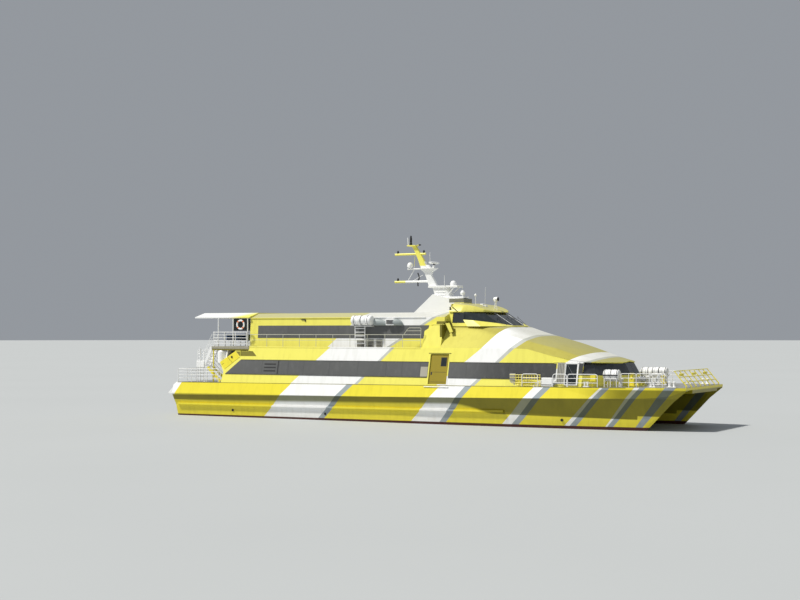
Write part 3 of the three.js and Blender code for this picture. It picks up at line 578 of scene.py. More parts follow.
def make_finishes(looks):
    """Every finish of the boat, by name."""
    enamel("hull enamel", looks, HULL_STRIPES, hull=True, gloss=0.3)
    pale = dict(ground=looks.house_yellow, edge=looks.pale_edge)
    enamel("house enamel", looks, HOUSE_STRIPES, **pale)
    enamel("hood enamel", looks, HOOD_STRIPES, roughness=0.55, top_shade=HOOD_TOP_SHADE, gloss=0.1, **pale)
    enamel("upper house enamel", looks, UPPER_STRIPES, top_shade=UPPER_TOP_SHADE, **pale)
    enamel("yellow enamel", looks, ground=looks.house_yellow)
    enamel("wing enamel", looks)
    enamel("roof enamel", looks, ground=looks.roof_yellow, roughness=0.4, top_shade=ROOF_TOP_SHADE)
    enamel("white enamel", looks, ground=looks.white, roughness=0.35)
    mast_enamel(looks)
    canopy_enamel(looks)
    # painted shade: the side door leaves are a darker olive all over
    plain("door shaded olive", looks.door_shaded_olive, 0.5, grain=14.0)
    plain("shade olive", looks.shade_olive, 0.5, grain=14.0)
    plain("rail white", looks.white, 0.35, grain=25.0)
    plain("rail grey", looks.rail_grey, 0.4, grain=25.0)
    plain("rail yellow", looks.yellow, 0.35, grain=25.0)
    plain("slab edge", looks.slab_edge, 0.5, grain=10.0)
    plain("black rubber", (0.02, 0.02, 0.022), 0.7, grain=40.0)
    plain("seal grey", (0.045, 0.046, 0.047), 0.6, grain=40.0)
    plain("vent grey", (0.4, 0.39, 0.34), 0.5, grain=20.0)
    plain("cowl grey", (0.36, 0.4, 0.4), 0.45, grain=10.0)
    plain("cast alloy", (0.5, 0.51, 0.52), 0.38, 0.85, grain=25.0, relief=0.25)
    plain("brushed steel", (0.62, 0.62, 0.63), 0.3, 0.95, grain=18.0, stretch=(1, 1, 12))
    plain("seat blue", (0.05, 0.1, 0.22), 0.55, grain=60.0)
    plain("buoy orange", (0.85, 0.18, 0.03), 0.5, grain=30.0)
    plain("glass fibre", looks.white, 0.4, grain=8.0, change=0.04, relief=0.2)
    tinted("saloon glass", looks.saloon_glass, 0.22, dark=(6.2, 3.5))
    tinted("bridge glass", looks.bridge_glass, 0.06)
    tinted("nose glass", looks.nose_glass, 0.12)
    tinted("pale blind", (0.42, 0.4, 0.33), 0.3)


def mast_enamel(looks):
    """White mast paint. The fairing's foot is yellow below a slanting line and its nose under the forward
    platform is dark grey as painted shade, and the mast's top and the tips of its arms are yellow."""
    finish = Finish("mast enamel", 0.35)
    x, _, z = finish.axes()
    line = finish.line(x, *FAIRING_LINE)
    foot = finish.product(finish.above(line, z, 0.03), finish.above(FAIRING_TOP, z, 0.03))
    nose = finish.product(finish.above(x, 1.75, 0.05), finish.inside(z, FAIRING_TOP, 8.555, 0.02))
    top = finish.product(finish.above(z, MAST_YELLOW, 0.03), finish.above(-0.2, x, 0.1))
    tip = finish.product(finish.above(-2.1, x, 0.02), finish.above(z, 9.5, 0.1))
    yellow = finish.maths("MAXIMUM", finish.maths("MAXIMUM", foot, top), tip)
    base = finish.blend(finish.noise(2.0), looks.white, shade(looks.white, 0.95))
    # painted shade on the nose under the forward platform
    base = finish.blend(nose, base, MAST_NOSE_SHADE)
    finish.colour(finish.blend(yellow, base, looks.house_yellow))
    finish.bump(finish.noise(30.0), 0.1, 0.002)


def canopy_enamel(looks):
    """White canopy that turns to the house yellow along a slanting line by the upper house."""
    finish = Finish("canopy enamel", 0.4)
    x, _, z = finish.axes()
    slow = finish.noise(1.2, 3.0)
    base = finish.blend(slow, looks.white, shade(looks.white, 0.92))
    slant = finish.total(x, finish.product(finish.maths("SUBTRACT", z, 7.3), CANOPY_SLOPE))
    ahead = finish.product(finish.above(slant, *CANOPY_TURN), finish.above(z, 7.2, 0.02))
    finish.colour(finish.blend(ahead, base, looks.house_yellow))
    finish.bump(finish.noise(12.0), 0.12, 0.004)


def finishes(*names):
    """The finishes of these names, in order."""
    return [Finish.made[name] for name in names]


def dress(nodes, name):
    """Gives CAD nodes a finish."""
    for node in nodes:
        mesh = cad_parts[node].data
        mesh.materials.clear()
        mesh.materials.append(Finish.made[name])


def pair(name):
    """A name for each side of the boat."""
    return [f"{name}_{side}" for side in SIDES]


# Parts that are used in several places


def wall_grid(corners, half, out, count=(9, 5), bulge=0.0):
    """Grid over an outline [aft low, fore low, fore high, aft high] in x and z, laid on a wall."""
    u, v = grid(*count)
    corner = np.asarray(corners, float)
    a, b, c, d = corner[:, None, None, :]
    place = (1 - v)[..., None] * ((1 - u)[..., None] * a + u[..., None] * b)
    place = place + v[..., None] * ((1 - u)[..., None] * d + u[..., None] * c)
    x, z = place[..., 0], place[..., 1]
    crown = bulge * (1 - (2 * u - 1) ** 6) * (1 - (2 * v - 1) ** 6)
    return np.stack([x, -(half(x, z) + out + crown), z], -1)


def panel(form, corners, half, back, front, finish=0, count=(9, 5), bulge=0.0):
    """A panel on a wall between two distances from its face, its front slightly crowned."""
    outer = wall_grid(corners, half, front - bulge, count, bulge)
    form.slab(outer, wall_grid(corners, half, back, count), finish)


def rectangle(x0, x1, z0, z1):
    """An upright outline for a panel."""
    return [[x0, z0], [x1, z0], [x1, z1], [x0, z1]]


def panels(form, table, half):
    """Plain panels on a wall, from rows as in HOUSE_TRIM."""
    for x0, x1, z0, z1, back, front, finish, columns, rows in table:
        panel(form, rectangle(x0, x1, z0, z1), half, back, front, finish, (columns, rows))


def wall_bar(form, ends, out, radius, finish):
    """A thin straight bar between two points [x, z], laid on the main house's side."""
    x, z = np.asarray(ends, float).T
    line = np.column_stack([x, -house_half(x, z) - out, z])
    form.bars(line[:1], line[1:], radius, 6, finish)


def railing(form, path, height, levels, spacing, radius=0.024, finish=0):
    """A pipe rail: posts along a level path, a bent top pipe, lower pipes and a foot at each post."""
    path = np.asarray(path, float)
    for level in levels:
        line = path + [0, 0, level * height]
        size = radius if level == levels[-1] else radius * 0.8
        form.tube(fillet(line, 0.18) if len(line) > 2 else line, size, (0, 0, 1), 8, finish)
    for start, end in zip(path[:-1], path[1:]):
        bays = max(1, round(float(np.linalg.norm(end - start)) / spacing))
        t = (np.arange(bays + 1) / bays)[:, None]
        inward = (end - start) / np.linalg.norm(end - start) * radius
        feet = start + inward + (end - start - 2 * inward) * t
        form.bars(feet, feet + [0, 0, height], radius, 8, finish)
        form.bars(feet, feet + [0, 0, 0.012], radius * 2.2, 10, finish)


def lifebuoy(form, centre, facing, finishes_at, radius=0.31, thick=0.065):
    """A ring with four bands: a torus whose finish changes at each eighth of a turn."""
    sides, steps = 10, 32
    turn = np.arange(steps) * 2 * math.pi / steps
    loop = np.arange(sides) * 2 * math.pi / sides
    reach = radius + thick * np.cos(loop)[None]
    up, across = np.sin(turn)[:, None] * reach, np.cos(turn)[:, None] * reach
    deep = np.broadcast_to(thick * 0.8 * np.sin(loop)[None], up.shape)
    order = [across, deep, up] if facing == "y" else [deep, across, up]
    first = len(form.finish)
    form.ring(np.stack(order, -1) + np.asarray(centre, float), finishes_at[0])
    for band in range(4):
        start = first + (band * 8 + 3) * sides
        form.finish[start : start + 2 * sides] = [finishes_at[1]] * (2 * sides)


def canister(form, x0, x1, y, z, radius, lobes=5, finish=0):
    """A raft canister lying fore and aft: a barrel whose radius swells once for each lobe."""
    t = np.linspace(0, 1, lobes * 8 + 1)
    swell = np.sqrt(np.abs(np.sin(math.pi * lobes * t)))
    r = radius * (0.86 + 0.14 * swell)
    x = x0 + 0.04 + (x1 - x0 - 0.08) * t
    aft = [[0, x0], [radius * 0.6, x0]]
    fore = [[radius * 0.6, x1], [0, x1]]
    form.turned(np.concatenate([aft, np.stack([r, x], -1), fore]), (0, y, z), "x", 28, finish)


def rounded_section(x0, x1, half, z, soft=0.25, count=5):
    """A level rectangle with round corners at height z, symmetric about the centreline: one corner's
    arc is turned by a quarter and moved out for each of the four."""
    centre, reach = (x0 + x1) / 2, (x1 - x0) / 2
    r = soft * min(reach, half)
    turn = np.linspace(0, math.pi / 2, count)
    a, b = np.cos(turn) * r, np.sin(turn) * r
    corners = []
    for c, s, along, across in ((1, 0, 1, 1), (0, 1, -1, 1), (-1, 0, -1, -1), (0, -1, 1, -1)):
        spun = np.stack([a * c - b * s, a * s + b * c], -1)
        corners.append(spun + [along * (reach - r), across * (half - r)])
    flat = np.concatenate(corners)
    return np.column_stack([flat[:, 0] + centre, flat[:, 1], np.full(len(flat), z)])


# Hull

# Edge of the hulls as [x, half breadth at the deck, half breadth at the knuckle].
HULL_EDGE = [[-19.35, 4.8, 5.05], [8, 4.8, 5.05], [11.5, 4.73, 4.96], [14.5, 4.6, 4.74], [16.4, 4.42, 4.5]]
# Height of the knuckle as [x, z].
KNUCKLE = [[-19.35, 1.66], [-12, 1.71], [0, 1.79], [8, 1.9], [11.5, 1.97], [14.5, 2.015], [16.4, 2.04]]
# Half breadth of the hull side half way up as [x, y], and the outlets in it as [x, z].
HULL_SIDE = [[8, 4.66], [11.5, 4.5], [14.5, 4.22]]
OUTLETS = [[11.9, 0.55], [-6.0, 0.45], [-14.0, 0.5]]
# Section of an outlet's ring as [radius, distance out of the hull].
OUTLET_RING = [[0.0, 0.0], [0.05, 0.0], [0.06, -0.02], [0.09, -0.02], [0.09, 0.08], [0.0, 0.08]]


def make_hull():
    """Paints the hulls and lays a bead along the deck's edge and the knuckle, and the outlets."""
    dress([*pair("hull"), "bridge_deck", *pair("strake")], "hull enamel")
    dress(["transom_fairing"], "white enamel")
    x = np.linspace(-19.0, 16.2, 60)
    edge, knuckle = read(HULL_EDGE, x, 1), read(HULL_EDGE, x, 2)
    for side, sign in SIDES.items():
        form = Form()
        # The bead along the deck's edge is in shade olive: a painted shadow line along the seam.
        form.tube(np.column_stack([x, -edge - 0.002, deck(x) - 0.012]), 0.02, (0, 0, 1), 8, 2)
        form.tube(np.column_stack([x, -knuckle + 0.012, read(KNUCKLE, x)]), 0.016, (0, 0, 1), 8)
        for x0, z0 in OUTLETS:
            form.turned(OUTLET_RING, (x0, -read(HULL_SIDE, x0) - 0.02, z0), "y", 20, 1)
        build(
            form.to_side(sign),
            f"topside_beads_{side}",
            finishes("hull enamel", "black rubber", "shade olive"),
        )


# Main house

# Where the panes of each saloon band meet, and the x at the head of the after band's slanting end.
AFT_CUTS = [-14.71, -11.5, -10.0, -9.21, -7.9, -5.74, -3.4, -1.11, 0.15, 1.56, 2.19]
FORE_CUTS = [3.73, 5.07, 6.62, 8.18, 9.73, 11.35]
AFT_HEAD = -13.5
# In the after band: a blind, three dark rails and a post, with columns as in HOUSE_TRIM.
AFT_BAND_TRIM = [
    [1.6, 2.15, 3.2, 3.86, 0.015, 0.0235, 2, 5, 5],
    *([-11.3, -10.3, z, z + 0.08, 0.015, 0.034, 3, 5, 3] for z in (3.38, 3.62, 3.86)),
    [-10.14, -10.08, 3.2, 4.14, 0.015, 0.03, 3, 3, 3],
]
TRIM_FINISHES = (
    "house enamel",
    "white enamel",
    "shade olive",
    "black rubber",
    "wing enamel",
    "vent grey",
    "seal grey",
)
# Trim on the house side as [x0, x1, z0, z1, back, front, finish, columns, rows]: the back and the
# front are distances from the wall, and the finish is a place in TRIM_FINISHES.
HOUSE_TRIM = [
    [2.17, 2.25, 2.66, 4.8, 0.0, 0.012, 0, 3, 9],  # door frame
    [3.66, 3.73, 2.66, 4.8, 0.0, 0.012, 0, 3, 9],
    # The drip edge over the door is in shade olive: painted shade under the door's head.
    [2.1, 3.8, 4.76, 4.8, 0.0, 0.02, 2, 5, 3],  # drip edge over the door
    [-13.45, 2.15, 4.18, 4.2, 0.0, 0.03, 3, 31, 3],  # strips over the windows
    [3.75, 11.18, 4.18, 4.2, 0.0, 0.03, 3, 31, 3],
    [-14.7, 2.15, 3.13, 3.155, 0.0, 0.024, 3, 31, 3],  # strips under the windows
    [3.75, 11.18, 3.13, 3.155, 0.0, 0.024, 3, 31, 3],
    [11.42, 11.93, 2.85, 4.24, 0.0, 0.011, 5, 5, 9],  # louvred panel
    *([x, x + 0.03, 2.92, 4.18, 0.005, 0.0145, 6, 3, 7] for x in (11.5, 11.6, 11.7, 11.8)),
    [12.87, 13.1, 3.43, 4.2, 0.0, 0.012, 6, 3, 7],  # seal ahead of the forward door
]
# Slanting panels as [corners, back, front, finish, grid]: the wing, then the pocket and its edge in
# shade olive, which is painted shade under the upper deck.
WING_TRIM = [
    ([[-15.3, 4.0], [-14.06, 4.79], [-13.62, 4.38], [-14.83, 3.48]], 0.0, 0.02, 4, (9, 5)),
    ([[-13.58, 4.46], [-12.14, 4.46], [-12.5, 4.79], [-13.62, 4.79]], -0.055, -0.035, 2, (7, 5)),
    ([[-13.6, 4.42], [-13.58, 4.42], [-13.66, 4.79], [-14.02, 4.79]], 0.0, 0.006, 2, (5, 5)),
]
WING_BARS = [[[-14.68, 4.36], [-14.2, 3.96]], [[-15.14, 3.8], [-14.95, 3.9]]]


def make_house(looks):
    """Paints the house sides and lays the window bands and the trim on them."""
    dress([*pair("main_side"), *pair("vent_house"), "nose_wall"], "house enamel")
    dress(["upper_deck"], "slab edge")
    dress(["main_aft_bulkhead"], "white enamel")
    for side, sign in SIDES.items():
        form = window_band(AFT_CUTS, AFT_HEAD, looks.pane_gap, (13, 7))
        panels(form, AFT_BAND_TRIM, house_half)
        build(
            form.to_side(sign),
            f"saloon_windows_aft_{side}",
            finishes("saloon glass", "seal grey", "pale blind", "black rubber"),
            replaces=[f"main_glass_aft_{side}"],
        )
        form = window_band(FORE_CUTS, FORE_CUTS[0], looks.pane_gap, (15, 7))
        build(
            form.to_side(sign),
            f"saloon_windows_fore_{side}",
            finishes("saloon glass", "seal grey"),
            replaces=[f"main_glass_fore_{side}"],
        )
        make_house_trim(side, sign)


def window_band(cuts, head, gap, pane_grid):
    """A saloon's band of windows: a grey backing, and a crowned pane between each two cuts. The
    band's after edge slants from the first cut to the head's x."""
    form = Form()
    outline = rectangle(cuts[0], cuts[-1], BAND_LOW, BAND_HIGH)
    outline[3][0] = head
    panel(form, outline, house_half, 0.001, 0.006, 1, (41, 3))
    for x0, x1 in zip(cuts[:-1], cuts[1:]):
        bay = rectangle(x0 + gap, x1 - gap, BAND_LOW, BAND_HIGH)
        if x0 == cuts[0]:
            bay[3][0] = head + gap
        panel(form, bay, house_half, 0.004, 0.02, 0, pane_grid, 0.01)
    return form


def make_house_trim(side, sign):
    """Strips by the windows, door frames, the sill, louvres, and the wing with the pocket by it."""
    form = Form()
    panels(form, HOUSE_TRIM, house_half)
    form.boxes([[2.0, 3.85, -4.9, -4.7, 2.5, 2.56]], 0.012, 1)
    for corners, back, front, finish, count in WING_TRIM:
        panel(form, corners, house_half, back, front, finish, count)
    for ends in WING_BARS:
        wall_bar(form, ends, 0.02, 0.012, 3)
    form.turned([[0, -0.02], [0.07, -0.02], [0.07, 0.02], [0, 0.02]], (-14.3, -4.44, 4.38), "y", 14, 3)
    build(form.to_side(sign), f"house_trim_{side}", finishes(*TRIM_FINISHES))


# Doors

HINGE_X, HINGE_IN = 3.635, 0.06  # the side door's hinge line, and how far it is inside the wall
PIN_RADIUS, PIN_LENGTH = 0.0145, 0.14
# Side door as in HOUSE_TRIM: leaf, window frame, window, two seams and the handle's plate.
SIDE_DOOR = [
    # The leaf's dark olive is painted shade over the whole leaf.
    [2.266, 3.612, 2.712, 4.69, -0.109, -0.064, 0, 9, 13],
    [3.06, 3.5, 3.9, 4.5, -0.08, -0.0625, 2, 5, 5],
    [3.1, 3.46, 3.94, 4.46, -0.07, -0.0605, 1, 5, 5],
    *([2.34, 3.54, z, z + 0.02, -0.07, -0.0615, 2, 5, 3] for z in (2.84, 3.5)),
    [2.36, 2.46, 3.32, 3.52, -0.07, -0.0602, 2, 3, 5],
]
# Forward door: leaf, and the raised head and stiles round its window.
FORE_DOOR = [
    [11.96, 12.84, 2.79, 4.27, 0.0246, 0.05, 0, 9, 9],
    [11.96, 12.84, 4.17, 4.27, 0.04, 0.0642, 0, 9, 3],
    [12.77, 12.84, 2.79, 4.2, 0.04, 0.0642, 0, 3, 9],
    [11.96, 11.99, 2.79, 4.2, 0.04, 0.0642, 0, 3, 9],
]
FORE_PANE = rectangle(12.02, 12.74, 2.85, 4.14)
FORE_BRACE = [[12.1, 4.1], [12.68, 3.2]]
AFT_HINGE = [-14.99, -0.9]


def make_doors():
    """The hinged side doors, the sliding forward doors and the after door, each on its own body."""
    for side, sign in SIDES.items():
        form = Form()
        panels(form, SIDE_DOOR, house_half)
        for z in (2.95, 4.27):
            foot, head = (HINGE_IN - house_half(HINGE_X, level) for level in (z, z + PIN_LENGTH))
            form.bars([[HINGE_X, foot, z]], [[HINGE_X, head, z + PIN_LENGTH]], PIN_RADIUS, 14, 3)
            form.boxes([[3.58, 3.625, foot + 0.032, foot + 0.06, z + 0.02, z + 0.12]], 0.004, 3)
        build(
            form.to_side(sign),
            f"side_door_leaf_{side}",
            finishes("door shaded olive", "bridge glass", "black rubber", "brushed steel"),
            body=f"side_door_{side}",
            replaces=[f"side_door_{side}"],
        )
        form = Form()
        panels(form, FORE_DOOR, house_half)
        panel(form, FORE_PANE, house_half, 0.04, 0.058, 1, (9, 7), 0.003)
        wall_bar(form, FORE_BRACE, 0.055, 0.009, 3)
        build(
            form.to_side(sign),
            f"fore_door_leaf_{side}",
            finishes("white enamel", "bridge glass", "brushed steel"),
            body=f"fore_door_{side}",
            replaces=[f"fore_door_{side}"],
        )
    make_after_door()


def make_after_door():
    """The after door: leaf, window, handle and two hinge pins."""
    form = Form()
    form.boxes([[-14.99, -14.942, -0.894, 0.098, 2.572, 4.546]], 0.008)
    form.boxes([[-14.996, -14.98, -0.7, -0.1, 3.55, 4.3]], 0.004, 1)
    form.boxes([[-15.02, -14.98, -0.05, 0.0, 3.4, 3.6]], 0.006, 2)
    for z in (2.81, 4.11):
        form.bars([[*AFT_HINGE, z]], [[*AFT_HINGE, z + PIN_LENGTH]], PIN_RADIUS, 14, 2)
    build(
        form,
        "after_door_leaf",
        finishes("white enamel", "bridge glass", "brushed steel"),
        body="main_aft_door",
        replaces=["main_aft_door"],
    )


# Upper house

UPPER_CUTS = [-12.55, -9.89, -7.6, -5.6, -3.8, -1.61, 0.1, 1.5]  # where the panes meet
UPPER_HEADS = [-12.5, 1.72]  # x of the band's ends at its head
UPPER_GAP = 0.008
VENTS = [[-4.0, -3.36], [-3.22, -2.66], [-2.42, -1.96]]  # louvred boxes by the walkway as [x0, x1]


def make_upper_house():
    """Paints the upper house and lays its window bands, gutters, vents and fascias."""
    dress(["upper_house"], "upper house enamel")
    for side, sign in SIDES.items():
        build(
            upper_band().to_side(sign),
            f"upper_windows_{side}",
            finishes("saloon glass", "seal grey"),
            replaces=[f"upper_glass_{side}"],
        )
        form = Form()
        form.boxes([[-13.2, 1.4, -3.56, -3.49, 7.2, 7.26]], 0.008)
        form.boxes([[-8.78, -8.4, -3.57, -3.5, 7.08, 7.13], [-8.45, -8.4, -3.57, -3.5, 6.95, 7.1]], 0.01, 1)
        for x0, x1 in VENTS:
            form.boxes([[x0, x1, -3.7, -3.6, 5.18, 5.7]], 0.01, 2)
            slats = [[x0 + 0.03, x1 - 0.03, -3.712, -3.69, z, z + 0.045] for z in np.arange(5.24, 5.64, 0.12)]
            form.boxes(slats, 0.004, 1)
        build(
            form.to_side(sign),
            f"roof_gutter_{side}",
            finishes("upper house enamel", "black rubber", "vent grey"),
        )
        form = Form()
        form.boxes([[-16.32, -12.93, -4.21, -4.13, 4.97, 5.16]], 0.012)
        # A strip in shade olive under the slab's edge: painted shade under the overhang.
        form.boxes([[-16.3, -12.98, -4.2, -4.13, 4.86, 4.96]], 0.012, 1)
        form.boxes([[-12.9, 1.45, -4.205, -4.14, 5.06, 5.155]], 0.012, 2)
        panel(form, rectangle(1.42, 2.95, 5.0, 5.17), house_half, -0.05, 0.004, 2, (5, 3))
        build(
            form.to_side(sign),
            f"deck_fascia_{side}",
            finishes("slab edge", "shade olive", "house enamel"),
        )


def upper_band():
    """The upper house's windows: a grey backing whose ends slant, and a pane between each two cuts."""
    form = Form()
    low, high = UPPER_BAND_LOW, UPPER_BAND_HIGH
    aft, fore = UPPER_CUTS[0], UPPER_CUTS[-1]
    outline = [[aft, low], [fore, low], [UPPER_HEADS[1], high], [UPPER_HEADS[0], high]]
    panel(form, outline, upper_half, 0.001, 0.006, 1, (41, 3))
    for x0, x1 in zip(UPPER_CUTS[:-1], UPPER_CUTS[1:]):
        head = UPPER_HEADS[1] if x1 == fore else x1
        bay = rectangle(x0 + UPPER_GAP, x1 - UPPER_GAP, low, high)
        bay[2][0] = head - UPPER_GAP
        panel(form, bay, upper_half, 0.004, 0.02, 0, (13, 7), 0.01)
    return form


# Forward hood

# Sections of the hood as [x, edge y, edge z, knee y, knee z, crown y, crown z].
HOOD = [
    [2.9, 4.198, 5.15, 3.15, 6.48, 2.9, 6.6],
    [4.2, 4.198, 5.15, 3.15, 6.48, 2.9, 6.6],
    [5.6, 4.198, 5.15, 3.23, 6.33, 2.8, 6.6],
    [6.8, 4.198, 5.15, 3.25, 6.1, 2.3, 6.6],
    [7.7, 4.198, 5.15, 3.28, 5.93, 2.0, 6.31],
    [8.5, 4.14, 5.15, 3.3, 5.74, 1.9, 6.08],
    [9.3, 4.04, 5.09, 3.3, 5.54, 1.8, 5.88],
    [10.9, 3.94, 4.68, 3.3, 5.17, 1.7, 5.45],
    [12.1, 3.86, 4.44, 3.2, 4.78, 1.6, 5.08],
    [13.1, 3.76, 4.31, 2.8, 4.54, 1.3, 4.74],
    [14.0, 3.0, 4.27, 2.1, 4.38, 1.0, 4.47],
    [14.6, 1.7, 4.24, 1.2, 4.285, 0.6, 4.315],
    [14.85, 0.7, 4.215, 0.55, 4.225, 0.3, 4.24],
]


def hood_grid(x, drop=0.0):
    """Hood sections at each x: edge, knee and crown joined across, with round corners. The edge is
    read straight, so that it follows the house, and a drop makes the section lower and narrower."""
    edge_y, edge_z = read(HOOD, x, 1), read(HOOD, x, 2)
    _, _, knee_y, knee_z, crown_y, crown_z = smooth_columns(HOOD, x).T
    corners = [
        (edge_y, edge_z + 0.001),
        (knee_y, knee_z),
        (crown_y, crown_z + 0.02),
        (np.zeros_like(crown_y), crown_z + 0.05),
    ]
    half = np.stack([np.stack(corner, -1) for corner in corners], 1)
    t = np.linspace(0, 1, 9)[None, :, None]

    def rounded(k, share):
        """A curve round point k that starts and ends this share along its sides."""
        a = half[:, k] + (half[:, k - 1] - half[:, k]) * share
        b = half[:, k] + (half[:, k + 1] - half[:, k]) * share
        a, b, c = a[:, None], b[:, None], half[:, k][:, None]
        return (1 - t) ** 2 * a + 2 * t * (1 - t) * c + t * t * b

    rows = np.concatenate([half[:, :1], rounded(1, 0.16), rounded(2, 0.42), half[:, 3:]], 1)
    rows = np.concatenate([rows, (rows * [-1, 1])[:, -2::-1]], 1)
    rows = rows * [1 - drop / 4.0, 1] - [0, drop]
    xs = np.broadcast_to(np.asarray(x)[:, None, None], (*rows.shape[:2], 1))
    return np.concatenate([xs, rows * [-1, 1]], -1)


HOOD_THICK = 0.06
# The vent's hanging flap beside the hood: its head and its foot, each from aft to forward.
FLAP = np.array([[[3.02, -3.64, 6.81], [3.33, -3.64, 6.84]], [[3.4, -3.7, 6.17], [3.63, -3.7, 6.24]]])


def make_hood():
    """The forward hood: one smooth shell, its after end plate, and the vents and flap beside it."""
    form = Form()
    x = np.concatenate([np.linspace(2.9, 7.4, 24), np.linspace(7.5, 14.85, 62)])
    form.slab(hood_grid(x), hood_grid(x, HOOD_THICK))
    form.loft(hood_grid(np.array([2.902, 2.95]), 0.004))
    build(
        form,
        "forward_hood_shell",
        finishes("hood enamel"),
        replaces=["forward_hood"],
        angle=30,
    )
    for side, sign in SIDES.items():
        form = Form()
        form.boxes([[1.9, 2.95, -3.72, -3.2, 6.7, 6.76]], 0.012)
        # The cap's lower boxes, the block in the gap before the hood and the flap's thick body are in shade
        # olive: painted shade.
        form.boxes([[2.36, 3.08, -3.66, -3.0, 6.8, 6.95], [2.36, 2.9, -3.7, -3.0, 6.74, 6.85]], 0.012, 1)
        form.boxes([[2.74, 2.905, -3.94, -3.2, 5.75, 6.74]], 0.01, 1)
        for out, thick, finish in ((0.0, 0.3, 1), (0.02, 0.03, 0)):
            front = FLAP - [0, out, 0]
            form.slab(front, front + [0, thick, 0], finish)
        caps = finishes("yellow enamel", "shade olive")
        build(form.to_side(sign), f"vent_cap_{side}", caps)
    make_nose()


# Nose and its windows


def mirrored(half):
    """A plan from its starboard half [x, y], which is repeated to port in the opposite order."""
    return np.array(half + [[x, -y] for x, y in half[::-1]])


NOSE_PLAN = mirrored([[12.4, -4.494], [13.9, -3.45], [14.8, -2.2], [15.25, -0.9]])
NOSE_AFT = 13.112  # where the glass ends against the nose wall
NOSE_LEVELS = [3.4205, 3.68, 3.94, 4.2]
NOSE_LEAN = 0.43  # how far the glass leans in over its height
HALVED_PANES = (0, 3, 6)  # stretches of the plan that have a post in the middle


def outline_grown(points, distance):
    """An open outline moved sideways by a distance, its edges staying parallel."""
    p = np.asarray(points, float)
    d = np.diff(p, axis=0)
    normal = np.stack([d[:, 1], -d[:, 0]], -1) / np.linalg.norm(d, axis=1, keepdims=True)
    one = np.concatenate([normal[:1], normal])
    two = np.concatenate([normal, normal[-1:]])
    mean = (one + two) / (1 + (one * two).sum(1, keepdims=True))
    return p + mean * distance


def make_nose():
    """The wrap-round nose windows: leaning panes with thin dark posts between them."""
    low, high = NOSE_LEVELS[0], NOSE_LEVELS[-1]
    form = Form()

    def level(z, out):
        """The nose's outline at a height, cut square at its after ends."""
        share = (z - low) / (high - low)
        points = outline_grown(NOSE_PLAN, out - NOSE_LEAN * share)
        cut = (NOSE_AFT - points[0, 0]) / (points[1, 0] - points[0, 0])
        first = points[0] + (points[1] - points[0]) * cut
        points[0], points[-1] = first, first * [1, -1]
        return np.column_stack([points, np.full(len(points), z)])

    def sheet(out):
        """The outlines at every level, this far out from the wall."""
        return np.stack([level(z, out) for z in NOSE_LEVELS])

    form.slab(sheet(-0.01), sheet(-0.045), 1)
    front, back = sheet(0.0), sheet(-0.02)
    for n in range(len(NOSE_PLAN) - 1):
        pieces = 2 if n in HALVED_PANES else 1
        for k in range(pieces):
            t = np.array([k / pieces + 0.008, (k + 1) / pieces - 0.008])[:, None, None]
            form.slab(*(s[None, :, n] * (1 - t) + s[None, :, n + 1] * t for s in (front, back)), 0)
    glass = finishes("nose glass", "black rubber")
    build(form, "nose_windows", glass, replaces=["nose_glass"])


# Wheelhouse

WHEEL_LOW, WHEEL_HIGH = 6.6003, 7.58
WHEEL_PLAN = mirrored([[2.9, -3.05], [5.4, -3.05], [6.55, -2.05], [6.9, -0.9]])
WHEEL_AFT = 2.902
WHEEL_LEAN, WHEEL_RAKE = 0.23, 1.35  # how far the walls lean in, and how far they are raked aft
# Height of the sill at each corner of the plan and of the windows' head, as shares of the walls'.
WHEEL_SILLS = [0.54, 0.42, 0.22, 0.05, 0.05, 0.22, 0.42, 0.54]
# The black backing that shows between the panes' head and the roof is partly a gasket and partly painted
# shadow under the roof.
WHEEL_TOP = 0.97
# Side panes as [start, end at the foot, start, end at the head, sill at each end, finish].
SIDE_PANES = [
    (0.17, 0.59, 0.31, 0.985, 0.27, 0.27, 2),
    (0.62, 0.99, 0.985, 0.995, 0.49, 0.43, 0),
]
HALVES, WHOLE = [(0, 0.5), (0.5, 1)], [(0, 1)]
FRONT_PANES = {1: HALVES, 2: WHOLE, 3: HALVES, 4: WHOLE, 5: HALVES}  # spans of each front wall
APRON_ENDS = {0: (0.61, 1), 6: (0, 0.39)}  # the side walls have the apron along this stretch only
APRON_SILL = 0.47
WIPERS = (-1.6, -0.45, 0.45, 1.6)


def wheel_level(share, out=0.0):
    """Plan of the wheelhouse walls at a share of their height: leaning in and raked aft."""
    points = outline_grown(WHEEL_PLAN, out - WHEEL_LEAN * share) - [WHEEL_RAKE * share, 0]
    points[0, 0] = points[-1, 0] = WHEEL_AFT
    z = WHEEL_LOW + (WHEEL_HIGH - WHEEL_LOW) * share
    return np.column_stack([points, np.full(len(points), z)])


def wheel_sheet(edge, ends, foot, head, out, top=None):
    """Grid on one wall between two lines of height shares. Its ends may change from foot to head,
    as may its distance from the wall: the plan is linear in both, so they are summed."""
    u, v = grid(7, 6)
    low, high = ends, ends if top is None else top

    def between(one, two):
        """The value at u along both lines and at v from the first to the second."""
        return (one[0] + (one[1] - one[0]) * u) * (1 - v) + (two[0] + (two[1] - two[0]) * u) * v

    t = between(low, high)[..., None]
    share = between(foot, head)[..., None]
    distance = (out[0] * (1 - v) + out[1] * v)[..., None]
    level = wheel_level(0)
    plans = (level, wheel_level(1) - level, wheel_level(0, 1) - level)
    base, up, outward = (p[edge] + (p[edge + 1] - p[edge]) * t for p in plans)
    return base + up * share + outward * distance


